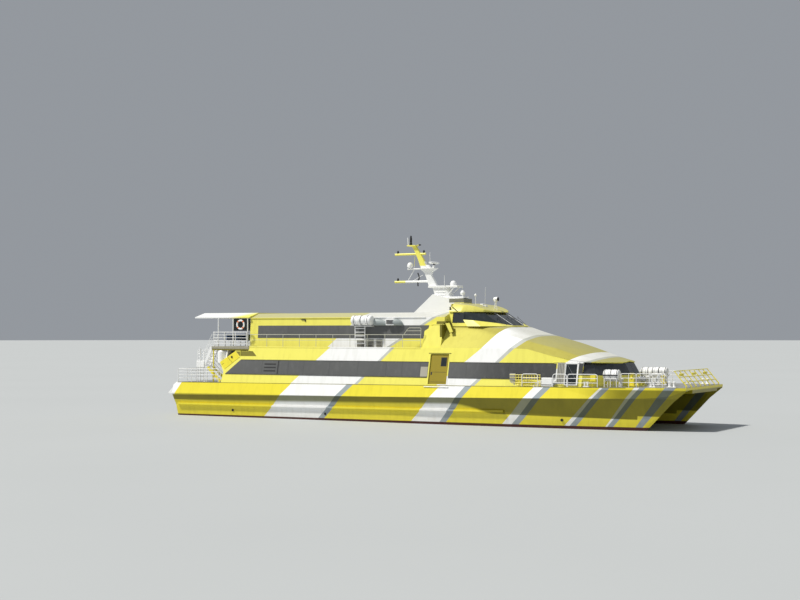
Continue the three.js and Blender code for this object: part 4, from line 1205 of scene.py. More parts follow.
def make_wheelhouse():
    """The wheelhouse: its windows, the sloping apron under them, wipers, posts and roof."""
    dress(["wheelhouse"], "yellow enamel")
    form = Form()
    tops = (WHEEL_TOP, WHEEL_TOP)
    for edge, spans in FRONT_PANES.items():
        sills = WHEEL_SILLS[edge : edge + 2]
        form.slab(*(wheel_sheet(edge, (0, 1), sills, (1.0, 1.0), (out, out)) for out in (0.012, 0.001)), 1)
        for ends in spans:
            line = [sills[0] + (sills[1] - sills[0]) * t + 0.012 for t in ends]
            ends = (ends[0] + 0.008, ends[1] - 0.008)
            form.slab(*(wheel_sheet(edge, ends, line, tops, (out, out)) for out in (0.02, 0.008)), 0)
    for pane in SIDE_PANES:
        side_pane(form, *pane)
    build(
        form,
        "wheelhouse_windows",
        finishes("bridge glass", "black rubber", "nose glass"),
        replaces=["wheelhouse_glass"],
    )
    form = Form()
    foot = (0.001, 0.001)
    for edge in range(len(WHEEL_PLAN) - 1):
        aft = {0: 0, len(WHEEL_PLAN) - 2: 1}.get(edge)
        sills = [APRON_SILL if k == aft else WHEEL_SILLS[edge + k] for k in (0, 1)]
        ends = APRON_ENDS.get(edge, (0, 1))
        outer = wheel_sheet(edge, ends, foot, sills, (0.14, 0.035))
        form.slab(outer, wheel_sheet(edge, ends, foot, sills, (0.001, 0.001)))
    build(form, "wheelhouse_apron", finishes("yellow enamel"))
    make_wipers()
    make_wheelhouse_roof()
    make_roof_gear()


def side_pane(form, start, end, upper_start, upper_end, aft_sill, fore_sill, finish):
    """A pane on each side wall of the wheelhouse, over a dark backing that is a little larger. The
    port wall runs from forward aft, so there the shares count back from its other end."""
    tops = (WHEEL_TOP, WHEEL_TOP)
    for edge, to_port in ((0, False), (len(WHEEL_PLAN) - 2, True)):
        for grow, paint, near, far in ((0.02, 1, 0.001, 0.012), (0.0, finish, 0.008, 0.02)):
            ends = np.array([[start - grow, end + grow], [upper_start - grow, min(1, upper_end + grow)]])
            line = (aft_sill - grow, fore_sill - grow)
            if to_port:
                ends, line = 1 - ends[:, ::-1], line[::-1]
            sheets = (wheel_sheet(edge, ends[0], line, tops, (out, out), ends[1]) for out in (far, near))
            form.slab(*sheets, paint)


def make_wipers():
    """Wipers and thin posts on the wheelhouse windows, and the brackets at its after corners."""
    form = Form()
    for y in WIPERS:
        root = np.array([6.86 - abs(y) * 0.12, y, 6.7])
        tip = root + [-0.75, 0.28, 0.52]
        form.bars([root], [tip], 0.012, 6)
        form.bars([tip + [0.08, -0.2, -0.06]], [tip + [-0.1, 0.12, 0.08]], 0.016, 6)
    foot, head = wheel_level(0.1, 0.026), wheel_level(WHEEL_TOP, 0.026)
    form.bars(foot[[1, 2, 5, 6]], head[[1, 2, 5, 6]], 0.01, 8)
    # The two front posts are white: real posts, and partly a painted highlight for the glint along the front
    # glass.
    form.bars(foot[[3, 4]], head[[3, 4]], 0.014, 8, 1)
    for s in SIDES.values():
        form.bars([[3.0, s * 2.77, 8.02]], [[3.62, s * 2.99, 7.62]], 0.022, 6)
        form.boxes([[2.93, 3.03, s * 2.86 - 0.02, s * 2.86 + 0.02, 7.7, 7.95]], 0.008)
    build(form, "wheelhouse_wipers", finishes("black rubber", "rail white"))


ROOF_AFT, ROOF_LONG = 2.92, 2.6
ROOF_FOOT, ROOF_SOFT = 7.6, 0.03
# The roof as [x, half breadth], [x, height of the ridge] and [distance in from the edge, height].
ROOF_HALF = [[2.92, 2.93], [3.85, 2.89], [4.5, 2.48], [5.1, 2.0], [5.4, 1.42], [5.52, 0.92]]
ROOF_RIDGE = [[2.92, 8.24], [4.1, 8.09], [4.6, 7.96], [5.05, 7.8], [5.4, 7.67], [5.52, 7.6]]
ROOF_SIDE = [[0, 7.6], [0.04, 7.7], [0.3, 8.0], [0.8, 8.25], [3, 8.4]]
SEARCHLIGHT = (5.08, 0, 8.5)


def make_wheelhouse_roof():
    """Roof over the raked plan: the lower of a side profile and a cross profile, blended softly as
    the logarithm of the sum of their exponentials."""
    form = Form()
    u, v = grid(49, 37)
    x = ROOF_AFT + ROOF_LONG * np.sin(u * math.pi / 2)
    half = read(ROOF_HALF, x)
    y = half * np.sin((v - 0.5) * math.pi)
    ridge, side = read(ROOF_RIDGE, x), read(ROOF_SIDE, half - np.abs(y))
    both = sum(np.exp(-(height - ROOF_FOOT) / ROOF_SOFT) for height in (ridge, side))
    z = np.maximum(ROOF_FOOT - ROOF_SOFT * np.log(both), ROOF_FOOT - 0.01)
    form.slab(np.stack([x, y, z], -1), np.stack([x, y * 0.985, np.full_like(z, 7.5815)], -1))
    form.boxes([[2.915, 2.96, -2.6, 2.6, 7.585, 8.16]], 0.01)
    build(
        form,
        "wheelhouse_roof_shell",
        finishes("roof enamel"),
        replaces=["wheelhouse_roof"],
        angle=28,
    )


def make_roof_gear():
    """The searchlight on its legs, two aerials, a dome and two small housings on the roof."""
    form = Form()
    feet = [[4.98, -0.09, 7.74], [4.98, 0.09, 7.74], [5.18, 0, 7.68]]
    form.bars(feet, [[5.06, -0.05, 8.36], [5.06, 0.05, 8.36], [5.1, 0, 8.36]], 0.022)
    barrel = [[0, -0.16], [0.12, -0.15], [0.15, -0.05], [0.16, 0.13], [0.145, 0.15], [0, 0.14]]
    form.turned(barrel, SEARCHLIGHT, "x", 24)
    form.turned([[0, 0.142], [0.14, 0.142], [0.14, 0.18], [0, 0.185]], SEARCHLIGHT, "x", 24, 1)
    yoke = [[5.02, 5.14, y0, y1, 8.33, 8.55] for y0, y1 in ((-0.19, -0.16), (0.16, 0.19))]
    form.boxes([*yoke, [5.02, 5.14, -0.19, 0.19, 8.32, 8.35]], 0.006)
    form.bars([[4.0, -1.0, 8.0], [3.75, 1.0, 8.05]], [[4.0, -1.0, 8.72], [3.78, 1.0, 9.4]], [0.02, 0.01])
    form.turned([[0, 0], [0.07, 0], [0.09, 0.08], [0.05, 0.17], [0, 0.18]], (4.0, -1.0, 8.7), "z", 16)
    form.boxes([[4.35, 4.6, -0.6, -0.3, 7.9, 8.09], [3.7, 3.95, 0.3, 0.6, 8.08, 8.2]], 0.02)
    build(form, "wheelhouse_roof_gear", finishes("rail white", "black rubber"))


# Mast

# Platforms as [x0, x1, half breadth, z0, z1, cut edge, finish].
PLATFORMS = [
    [-0.05, 2.3, 0.46, 9.36, 9.5, 0.02, 0],
    [0.8, 2.78, 0.45, 8.6, 8.71, 0.02, 0],
    # A thin black sheet under the forward platform: painted shade on its underside.
    [1.0, 2.7, 0.4, 8.56, 8.605, 0.01, 1],
    [-0.84, 0.42, 0.32, 10.73, 10.78, 0.01, 0],
    [-1.9, -1.2, 0.24, 12.37, 12.45, 0.015, 0],
]
# Columns, from the foot up, as sections [aft x, forward x, half breadth, z].
MAST_FOOT = [[0.5, 1.72, 0.36, 8.62], [0.22, 1.38, 0.36, 9.38]]
MAST_COLUMN = [
    [-0.15, 0.52, 0.16, 9.48],
    [-0.45, 0.02, 0.13, 10.3],
    [-0.62, 0.1, 0.13, 10.52],
    [-0.85, 0.4, 0.16, 10.69],
    [-0.85, 0.4, 0.16, 10.76],
]
MAST_HEAD = [
    [-0.8, -0.3, 0.14, 10.76],
    [-1.05, -0.6, 0.12, 11.4],
    [-1.33, -0.98, 0.1, 12.0],
    [-1.57, -1.22, 0.09, 12.38],
]
MAST_BROW = [
    [-0.5, -0.02, 0.12, 10.77],
    [-0.6, -0.2, 0.11, 11.0],
    [-0.64, -0.44, 0.1, 11.04],
    [-0.7, -0.46, 0.1, 11.25],
]
# Round bars as [start, end, radius, sides, finish].
MAST_BARS = [
    ([2.05, -0.4, 9.42], [1.35, -0.3, 8.7], 0.03, 8, 0),  # struts between the platforms
    ([2.05, 0.4, 9.42], [1.35, 0.3, 8.7], 0.03, 8, 0),
    ([-2.98, 0, 11.81], [-0.47, 0, 11.81], 0.08, 14, 0),  # arms
    ([-3.0, 0, 9.83], [-0.12, 0, 9.83], 0.08, 14, 0),
    ([-1.95, 0, 9.86], [-1.4, 0, 10.7], 0.025, 8, 0),  # stays and the radome's bracket
    ([-1.55, 0, 9.86], [-0.7, 0, 10.3], 0.02, 8, 0),
    ([-1.95, 0, 10.74], [-0.85, 0, 10.74], 0.05, 8, 0),
    ([-1.35, 0, 11.8], [-1.4, 0, 10.8], 0.012, 8, 0),
    ([-1.84, -0.1, 12.42], [-1.88, -0.1, 13.0], 0.035, 10, 2),  # top aerial
    ([-1.2, 0, 12.45], [-1.0, 0, 12.46], 0.02, 10, 0),  # horn's bracket
    ([-0.354, 0.28, 10.75], [-0.354, 0.44, 10.75], 0.016, 6, 2),  # whip aerials
    ([-0.354, 0.42, 10.75], [-0.354, 0.42, 11.95], 0.016, 6, 2),
    ([1.3, -0.5, 9.48], [1.3, -0.5, 10.2], 0.016, 6, 2),
    ([2.3, 0.3, 8.7], [2.32, 0.3, 9.3], 0.016, 6, 2),
    ([0.55, -0.37, 8.85], [1.3, -0.37, 8.85], 0.02, 8, 0),  # hand grips
    ([0.55, -0.37, 9.05], [1.3, -0.37, 9.05], 0.02, 8, 0),
]
# Profiles of turned fittings as [radius, height].
RADOME = [[0, 0], [0.06, 0], [0.06, 0.08], [0.2, 0.1], [0.22, 0.24], [0.17, 0.38], [0.08, 0.45], [0, 0.46]]
DOME = [[0, 0], [0.22, 0], [0.23, 0.16], [0.18, 0.28], [0.09, 0.35], [0, 0.36]]
SMALL_DOME = [[0, 0], [0.05, 0], [0.05, 0.1], [0.16, 0.14], [0.18, 0.28], [0.1, 0.42], [0, 0.44]]
PEDESTAL = [[0, 0], [0.13, 0], [0.1, 0.06], [0.09, 0.21], [0, 0.21]]
LAMP = [[0, 0], [0.07, 0], [0.075, 0.12], [0.04, 0.2], [0, 0.2]]
LAMP_STACK = [[0, 0], [0.09, 0], [0.09, 0.18], [0.06, 0.22], [0.08, 0.26], [0.08, 0.48]]
LAMP_STACK += [[0.05, 0.7], [0, 0.71]]
HORN = [[0, 0], [0.07, 0], [0.03, 0.14], [0, 0.14]]
# Where they are, as [profile, centre, axis, sides, finish].
MAST_FITTINGS = [
    (RADOME, (-1.74, 0, 10.76), "z", 24, 2),
    (DOME, (1.76, 0, 9.49), "z", 24, 0),
    (SMALL_DOME, (2.6, -0.2, 8.705), "z", 20, 0),
    (PEDESTAL, (0.2, 0, 10.775), "z", 20, 0),
    *((LAMP, (x, 0, z), "z", 14, 1) for x, z in ((-2.75, 11.88), (-0.62, 11.88), (-2.75, 9.9))),
    (LAMP_STACK, (-1.68, 0, 12.44), "z", 16, 1),
    (HORN, (-1.0, 0, 12.46), "x", 12, 1),
]
HOOK = [[-1.12, 0, 10.46], [-0.98, 0, 10.14], [-1.12, 0, 9.78], [-1.1, 0, 9.5]]
SCANNER = (0.2, 0, 11.145)  # middle of the radar's turning arm
ARM_HALF, ARM_WIDE, ARM_HIGH = 0.597, 0.146, 0.085


def make_mast():
    """The raked mast: fairing, tapered columns, platforms, arms, aerials, lamps and domes."""
    dress(["mast_fairing"], "mast enamel")
    form = Form()
    for x0, x1, half, z0, z1, chamfer, finish in PLATFORMS:
        form.boxes([[x0, x1, -half, half, z0, z1]], chamfer, finish)
    for sections, finish in ((MAST_FOOT, 0), (MAST_COLUMN, 0), (MAST_HEAD, 0), (MAST_BROW, 2)):
        form.loft([rounded_section(*section) for section in sections], finish)
    for start, end, radius, sides, finish in MAST_BARS:
        form.bars([start], [end], radius, sides, finish)
    for profile, centre, axis, sides, finish in MAST_FITTINGS:
        form.turned(profile, centre, axis, sides, finish)
    steps = np.arange(4)
    rung = np.column_stack([0.3 - 0.11 * steps, np.full(4, -0.15), 9.62 + 0.26 * steps])
    form.bars(rung, rung * [1, -1, 1], 0.012, 6)
    form.tube(fillet(HOOK, 0.12), 0.045, (0, 1, 0), 8, 1)
    build(
        form,
        "mast_structure",
        finishes("mast enamel", "black rubber", "rail white"),
        replaces=["mast_column"],
    )
    make_scanner()


def make_scanner():
    """The radar's arm, which turns: elliptic sections that narrow towards its ends, on a hub."""
    form = Form()
    x, y, z = SCANNER
    turn = np.linspace(0, 2 * math.pi, 20, endpoint=False)
    along = np.linspace(-ARM_HALF, ARM_HALF, 15)
    sections = [
        np.column_stack(
            [x + ARM_WIDE * t * np.cos(turn), np.full(20, y + a), z + ARM_HIGH * t * np.sin(turn)]
        )
        for a, t in zip(along, 1 - 0.2 * np.abs(along / ARM_HALF) ** 4)
    ]
    form.loft(sections)
    hub = [[0, 0], [0.088, 0], [0.085, 0.06], [0.06, 0.1], [0, 0.1]]
    form.turned(hub, (x, y, 10.9905), "z", 20, 1)
    build(
        form,
        "scanner_arm",
        finishes("rail white", "black rubber"),
        body="radar_scanner",
        replaces=["radar_scanner"],
    )


# Decks, rails and stairs

RAIL_FOOT = 0.0005  # rails stand this far off their deck
FINE_LEVELS = [0.2, 0.4, 0.6, 0.8, 1]  # heights of a rail's pipes as shares of its own
# Side rails by the main house, each a bent loop from its after foot to its forward foot, [x, y].
SIDE_RAILS = [
    [[9.2, -4.705], [10.3, -4.68]],
    [[11.35, -4.645], [12.3, -4.61]],
    [[12.36, -4.605], [14.35, -4.5]],
]


def on_deck(x, y, lift):
    """The point at a height above the main deck."""
    return [x, y, float(deck(x)) + lift]


def make_rails(looks):
    """Round pipe rails on every deck, with lifebuoys."""
    upper = UPPER_DECK + RAIL_FOOT
    edge = -WALKWAY_EDGE
    pipe = looks.pipe_radius
    for side, sign in SIDES.items():
        form = Form()
        railing(form, [[-12.8, edge, upper], [1.4, edge, upper]], 0.88, [0.55, 1], 1.49, pipe * 0.7)
        gate = [[0.04, edge, 6.03], [0.44, edge, 6.5], [1.4, edge, 6.5], [1.4, edge, 6.03]]
        form.tube(fillet(gate, 0.08), pipe * 0.7, (0, 1, 0), 8)
        form.bars([[0.28, edge, 6.3]], [[1.4, edge, 6.3]], pipe * 0.6)
        walkway = [f"walkway_rail_{side}"]
        build(form.to_side(sign), f"walkway_pipe_rail_{side}", finishes("rail grey"), replaces=walkway)
        form = Form()
        corners = ((-15.3, -4.7), (-19.05, -4.7), (-19.05, -1.4))
        path = [on_deck(*corner, RAIL_FOOT) for corner in corners]
        railing(form, path, 0.98, [0.3, 0.55, 0.8, 1], 1.25, pipe)
        aft = [f"aft_rail_{side}"]
        build(form.to_side(sign), f"aft_pipe_rail_{side}", finishes("rail white"), replaces=aft)
        form = Form()
        railing(form, [[-13.15, edge, upper], [-16.2, edge, upper]], 1.05, FINE_LEVELS, 1.0, pipe)
        lifebuoy(form, (-13.75, -4.1, 6.75), "y", (0, 1))
        build(
            form.to_side(sign),
            f"upper_aft_pipe_rail_{side}",
            finishes("rail white", "buoy orange"),
            replaces=[f"upper_aft_rail_{side}"],
        )
        form = Form()
        for span in SIDE_RAILS:
            low = np.array([on_deck(*foot, RAIL_FOOT) for foot in span])
            high = low + [0, 0, 0.82]
            form.tube(fillet([low[0], high[0], high[1], low[1]], 0.16), pipe, (0.03, 1, 0), 8)
            for level in (0.27, 0.55):
                form.bars(low[:1] + [0, 0, level], low[1:] + [0, 0, level], pipe * 0.75)
        sides = [f"side_rail_{side}"]
        build(form.to_side(sign), f"side_pipe_rail_{side}", finishes("rail white"), replaces=sides)
    form = Form()
    railing(form, [[-16.25, -3.9, upper], [-16.25, 3.9, upper]], 1.05, FINE_LEVELS, 1.3, pipe)
    build(form, "upper_stern_pipe_rail", finishes("rail white"), replaces=["upper_stern_rail"])


CANOPY_SECTION = [[-3.5, 7.235], [-2.45, 7.53], [2.45, 7.53], [3.5, 7.235]]  # under it, as [y, z]
SCREEN_POSTS = (-14.95, -13.4)
BENCH_ROWS, BENCH_SIDES = (-15.7, -14.8, -13.9), (-3.2, 0.5)  # first x and first y of each bench
BENCH_LONG = 2.6


def make_canopy():
    """What is under the canopy of the upper after deck: ribs, rails along them, dark wind screens
    with their posts, and rows of benches."""
    dress(["canopy"], "canopy enamel")
    form = Form()
    for x in np.arange(-17.9, -13.2, 0.9):
        path = [[x, y, z] for y, z in CANOPY_SECTION]
        form.tube(fillet(path, 0.2), 0.025, (1, 0, 0), 6)
    for y in (-2.0, 0, 2.0):
        form.bars([[-18.1, y, 7.5]], [[-13.1, y, 7.5]], 0.03, 6)
    for sign in SIDES.values():
        form.boxes([[-14.93, -13.42, *sorted((sign * 3.3, sign * 3.32)), 6.3, 7.22]], 0.004, 1)
        for x in SCREEN_POSTS:
            form.bars([[x, sign * 3.31, 5.151]], [[x, sign * 3.31, 7.24]], 0.02)
    build(form, "canopy_ribs", finishes("rail white", "bridge glass"))
    form = Form()
    for x in BENCH_ROWS:
        for y in BENCH_SIDES:
            form.boxes([[x, x + 0.42, y, y + BENCH_LONG, 5.55, 5.6]], 0.015)
            form.boxes([[x, x + 0.05, y, y + BENCH_LONG, 5.62, 6.02]], 0.015)
            for leg in (y + 0.3, y + 2.3):
                form.bars([[x + 0.2, leg, 5.151]], [[x + 0.2, leg, 5.56]], 0.025, 8, 1)
                form.bars([[x + 0.02, leg, 5.5]], [[x + 0.02, leg, 5.9]], 0.02, 8, 1)
    build(form, "deck_benches", finishes("seat blue", "brushed steel"))


STAIR_OUT, STAIR_IN = -4.15, -3.35  # outer and inner side of the stairs
# Flights as [foot x, z, head x, z, treads, finish of the stringers].
FLIGHTS = [[-17.08, 3.64, -16.32, 5.12, 7, 0], [-15.55, 2.55, -16.72, 3.6, 5, 1]]
STRING_THICK, STRING_HALF = 0.04, 0.11
HANDRAILS = (0.32, 0.64, 0.95)
LANDING_AFT, LANDING_FORE, LANDING_HEAD = -17.66, -17.1, 4.85
LANDING_PIPES = (3.88, 4.12, 4.36, 4.6, LANDING_HEAD)


def make_stairs():
    """Stern stairs: two flights, a half landing with its rails on posts, two tall posts beside them
    and a drum on its end."""
    out, into = STAIR_OUT + 0.04, STAIR_IN - 0.04
    for side, sign in SIDES.items():
        form = Form()
        for flight in FLIGHTS:
            stair_flight(form, *flight)
        form.boxes([[-17.7, -16.75, STAIR_OUT, STAIR_IN, 3.58, 3.63]], 0.008)
        posts = np.array([[LANDING_AFT, out], [LANDING_AFT, into], [-16.8, out], [-16.8, into]])
        tops = np.where(posts[:, 0] < -17, LANDING_HEAD, 3.6)
        form.bars(np.column_stack([posts, deck(posts[:, 0])]), np.column_stack([posts, tops]), 0.035, 10)
        corners = [[LANDING_FORE, out], [LANDING_AFT, out], [LANDING_AFT, into], [LANDING_FORE, into]]
        for z in LANDING_PIPES:
            form.tube(fillet([[*corner, z] for corner in corners], 0.08), 0.02, (0, 0, 1), 8)
        for y in (out, into):
            form.bars([[LANDING_FORE, y, 3.6]], [[LANDING_FORE, y, LANDING_HEAD]], 0.02, 8)
        form.boxes([[-17.72, -17.0, STAIR_OUT - 0.05, STAIR_OUT + 0.02, 3.56, 4.06]], 0.02)
        beside = STAIR_OUT - 0.02
        form.bars([[-16.15, beside, 2.52]], [[-16.15, beside, 4.9]], 0.045, 12, 1)
        form.bars([[-17.38, beside, 2.52]], [[-17.38, beside, 5.1]], 0.04, 12)
        drum = [[0, -0.5], [0.3, -0.5], [0.36, -0.42], [0.36, 0.42], [0.3, 0.5], [0, 0.5]]
        form.turned(drum, (-15.5, -3.9, 4.35), "z", 24)
        build(
            form.to_side(sign),
            f"stern_stairway_{side}",
            finishes("rail white", "rail yellow"),
            replaces=[f"stern_stairs_{side}"],
        )


def stair_flight(form, x0, z0, x1, z1, count, finish):
    """One flight: treads at the middle of equal steps, stringers beside them, and handrails that are
    raised from its slope."""
    share = (np.arange(count) + 0.5) / count
    places = zip(x0 + (x1 - x0) * share, z0 + (z1 - z0) * share)
    across = [STAIR_OUT + 0.03, STAIR_IN - 0.03]
    form.boxes([[x - 0.12, x + 0.12, *across, z - 0.02, z + 0.02] for x, z in places], 0.006)
    low, high = np.array([x0, z0]), np.array([x1, z1])
    along = (high - low) / np.linalg.norm(high - low)
    side = np.array([-along[1], along[0]]) * STRING_HALF
    corners = [low - side, low + side, high + side, high - side]
    for y in (STAIR_OUT, STAIR_IN - STRING_THICK):
        form.loft([[[p[0], end, p[1]] for p in corners] for end in (y, y + STRING_THICK)], finish)
    for y in (STAIR_OUT + 0.02, STAIR_IN - 0.02):
        for lift in HANDRAILS:
            form.bars([[x0, y, z0 + lift]], [[x1, y, z1 + lift]], 0.02, 8)
        form.bars([[x0, y, z0]], [[x0, y, z0 + HANDRAILS[-1]]], 0.022, 8)


# Rafts and foredeck

# Canisters as [x0, x1, y, z, radius, bands], and the places of their cradles.
FORE_RAFT, FORE_CRADLES = (14.42, 15.5, -3.5, 3.46, 0.37, 5), (14.55, 14.96, 15.37)
UPPER_RAFT, UPPER_CRADLES = (-4.18, -2.52, -4.0, 7.03, 0.35, 4), (-3.9, -3.35, -2.8)
CENTRE_RAFT, CENTRE_CRADLES = (16.37, 17.48, 0, 3.66, 0.26, 4), (16.5, 16.93, 17.35)
RAFT_SHELF = 6.64  # height of the shelf of an upper raft
COWL_WALL, COWL_FOOT = -3.562, 6.665  # where a vent cowl meets the house and the deck
COWL_OUT, COWL_HALF = 0.33, 0.24  # how far it stands out, and half its height


def make_rafts():
    """Raft canisters with straps on pipe cradles, on the foredeck and the upper deck."""
    for side, sign in SIDES.items():
        form = Form()
        canister(form, *FORE_RAFT)
        cradle(form, FORE_CRADLES, *FORE_RAFT[2:5], deck)
        form.boxes([[14.45, 15.47, -3.885, -3.865, 3.43, 3.5]], 0.004, 2)
        build(
            form.to_side(sign),
            f"foredeck_canister_{side}",
            finishes("glass fibre", "rail white", "black rubber"),
            replaces=[f"foredeck_raft_{side}"],
        )
        make_upper_raft(side, sign)
    form = Form()
    canister(form, *CENTRE_RAFT)
    cradle(form, CENTRE_CRADLES, *CENTRE_RAFT[2:5], deck)
    low, high = float(deck(16.9)) + 0.06, 3.42
    for y in (-0.3, 0.3):
        for x0, x1 in ((16.4, 16.92), (16.94, 17.46)):
            form.bars([[x0, y, low], [x0, y, high]], [[x1, y, high], [x1, y, low]], 0.02, 8, 1)
        form.bars([[16.36, y, low], [16.36, y, high]], [[17.5, y, low], [17.5, y, high]], 0.022, 8, 1)
    build(
        form,
        "centre_canister",
        finishes("glass fibre", "rail white", "black rubber"),
        replaces=["centre_raft"],
    )


def make_upper_raft(side, sign):
    """A canister on a shelf by the upper house, the ladder under it, and the vent cowls forward of it
    with a louvred box between them."""
    form = Form()
    canister(form, *UPPER_RAFT)
    cradle(form, UPPER_CRADLES, *UPPER_RAFT[2:5], lambda x: RAFT_SHELF)
    feet = np.array([[-3.95, -4.0, UPPER_DECK + 0.001], [-3.15, -4.0, UPPER_DECK + 0.001]])
    form.bars(feet, feet * [1, 1, 0] + [0, 0, RAFT_SHELF], 0.03, 10, 3)
    rungs = np.arange(5.4, 6.7, 0.26)
    form.boxes([[-3.93, -3.17, -4.05, -3.95, z, z + 0.05] for z in rungs], 0.006, 3)
    form.boxes([[-4.0, -2.6, -4.06, -3.62, 6.6, 6.65]], 0.01, 3)
    form.loft(fairing_shell(-2.56, -1.5), 4)
    form.loft(fairing_shell(-0.98, -0.3), 4)
    form.boxes([[-1.56, -0.9, -3.86, -3.56, 6.68, 7.14]], 0.03)
    slats = np.arange(6.78, 7.08, 0.075)
    form.boxes([[-1.5, -0.95, -3.885, -3.85, z, z + 0.045] for z in slats], 0.004, 2)
    build(
        form.to_side(sign),
        f"upper_canister_{side}",
        finishes("glass fibre", "brushed steel", "black rubber", "rail white", "cowl grey"),
        replaces=[f"upper_raft_{side}"],
    )


def fairing_shell(x0, x1):
    """Vent cowl against the house: half-round sections whose size falls forward as the root of one
    minus the square of the share of its length."""
    x = np.linspace(x0, x1, 15)
    size = np.sqrt(np.clip(1 - ((x - x0) / (x1 - x0)) ** 2, 0.02, 1))
    turn = np.linspace(0, math.pi, 13)
    out, up = COWL_OUT * np.sin(turn) ** 0.5, COWL_HALF * (1 - np.cos(turn))
    return [
        np.column_stack([np.full(13, place), COWL_WALL - out * s, COWL_FOOT + up * s])
        for place, s in zip(x, size)
    ]


def cradle(form, stations, y, z, radius, foot):
    """Cradle of a canister: saddles, pipe legs, long rails and a strap round it at each station."""
    turn = np.linspace(0, 2 * math.pi, 28, endpoint=False)
    across, up = np.cos(turn), np.sin(turn)
    outer, inner = radius + 0.004, radius - 0.006
    corners = ((-0.02, outer), (0.02, outer), (0.02, inner), (-0.02, inner))
    bed, saddle = z - radius, radius * 0.9
    rail_out, rail_z = radius * 0.85, z - radius * 0.55
    for x in stations:
        band = [np.column_stack([np.full(28, x + dx), y + r * across, z + r * up]) for dx, r in corners]
        form.ring(np.stack(band, 1), 2)
        form.boxes([[x - 0.03, x + 0.03, y - saddle, y + saddle, bed - 0.03, bed + 0.05]], 0.01, 1)
        low = float(foot(x)) + 0.001
        if bed - low > 0.05:
            legs = np.array([[x, y - rail_out, low], [x, y + rail_out, low]])
            form.bars(legs, legs * [1, 1, 0] + [0, 0, rail_z], 0.028, 8, 1)
            form.bars(legs[:1] + [0, 0, 0.12], legs[1:] + [0, 0, 0.12], 0.02, 8, 1)
    for beside in (y - rail_out, y + rail_out):
        form.bars([[stations[0], beside, rail_z]], [[stations[-1], beside, rail_z]], 0.024, 8, 1)


PULPIT_FOOT, PULPIT_LEAN, PULPIT_HIGH = 19.85, 0.8, 0.98  # x of its feet, lean aft and height
BOLLARD = [[0, 0], [0.085, 0], [0.075, 0.04], [0.07, 0.24], [0.1, 0.27], [0.1, 0.3]]
BOLLARD += [[0.06, 0.33], [0, 0.33]]
FLANGE = [[0.19, 0.5], [0.12, 0.46], [0.12, 0.4], [0.19, 0.36]]  # end of the winch's drum
CAPSTAN = [[0, 0], [0.16, 0], [0.16, 0.04], [0.09, 0.08], [0.09, 0.28], [0.16, 0.32]]
CAPSTAN += [[0.16, 0.36], [0, 0.36]]
VENT = [[0, 0], [0.13, 0], [0.11, 0.3], [0.19, 0.42], [0.19, 0.5], [0, 0.55]]
GATE_OUT = -4.66
GATE_BARS = (0.08, 0.25, 0.42, 0.59, 0.76)
LOW_RAIL = [[15.62, -3.65], [16.6, -3.55], [18.3, -3.5]]  # feet of the low rails, [x, y]
LOW_BOLLARDS = [[13.35, -4.4], [17.5, -3.6]]  # after end of each pair, [x, y]


def make_foredeck():
    """Bow pulpit, bollards, winch, lattice gates, lockers and vents of the foredeck."""
    make_pulpit()
    for side, sign in SIDES.items():
        form = Form()
        base = float(deck(18.9)) + 0.012
        form.boxes([[18.6, 19.2, -3.6, -3.3, base, base + 0.04]], 0.01)
        for x in (18.75, 19.05):
            form.turned(BOLLARD, (x, -3.45, base + 0.04), "z", 20)
        bollards = [f"bollards_{side}"]
        build(form.to_side(sign), f"bollard_pair_{side}", finishes("rail white"), replaces=bollards)
        make_foredeck_side(side, sign)
    make_winch()


def make_pulpit():
    """The bow pulpit: posts that lean aft, three rails across them and boards on the top one."""
    form = Form()
    foot = float(deck(19.95)) + 0.045
    lows = np.array([[PULPIT_FOOT, y, foot] for y in np.linspace(-3.4, 3.4, 8)])
    form.bars(lows, lows + [-PULPIT_LEAN, 0, PULPIT_HIGH], 0.03, 10)
    form.bars(lows - [0.04, 0, 0.044], lows - [0.04, 0, 0], 0.05, 8)
    for share in (0.3, 0.62, 1.0):
        x, z = PULPIT_FOOT - PULPIT_LEAN * share, foot + PULPIT_HIGH * share
        form.bars([[x, -3.44, z]], [[x, 3.44, z]], 0.026, 10)
    for y in (-2.45, 0, 2.45):
        form.boxes([[19.15, 19.25, y - 0.35, y + 0.35, foot + 0.66, foot + 0.82]], 0.02)
    build(
        form,
        "bow_pulpit_frame",
        finishes("rail yellow"),
        replaces=["bow_pulpit"],
    )


def make_winch():
    """The mooring winch: a drum with a flange at each end, between two cheeks on a base."""
    form = Form()
    base = float(deck(16.2))
    form.boxes([[15.9, 16.5, -2.0, -1.2, base + 0.004, base + 0.12]], 0.015)
    form.boxes([[16.05, 16.35, y - 0.03, y + 0.03, base + 0.1, base + 0.5] for y in (-1.95, -1.25)], 0.015)
    drum = [[0, -0.55], [0.19, -0.55], *[[r, -h] for r, h in FLANGE], *FLANGE[::-1], [0.19, 0.55], [0, 0.55]]
    form.turned(drum, (16.2, -1.6, 3.14), "y", 24, 1)
    build(
        form,
        "winch_unit",
        finishes("yellow enamel", "cast alloy"),
        replaces=["mooring_winch"],
    )


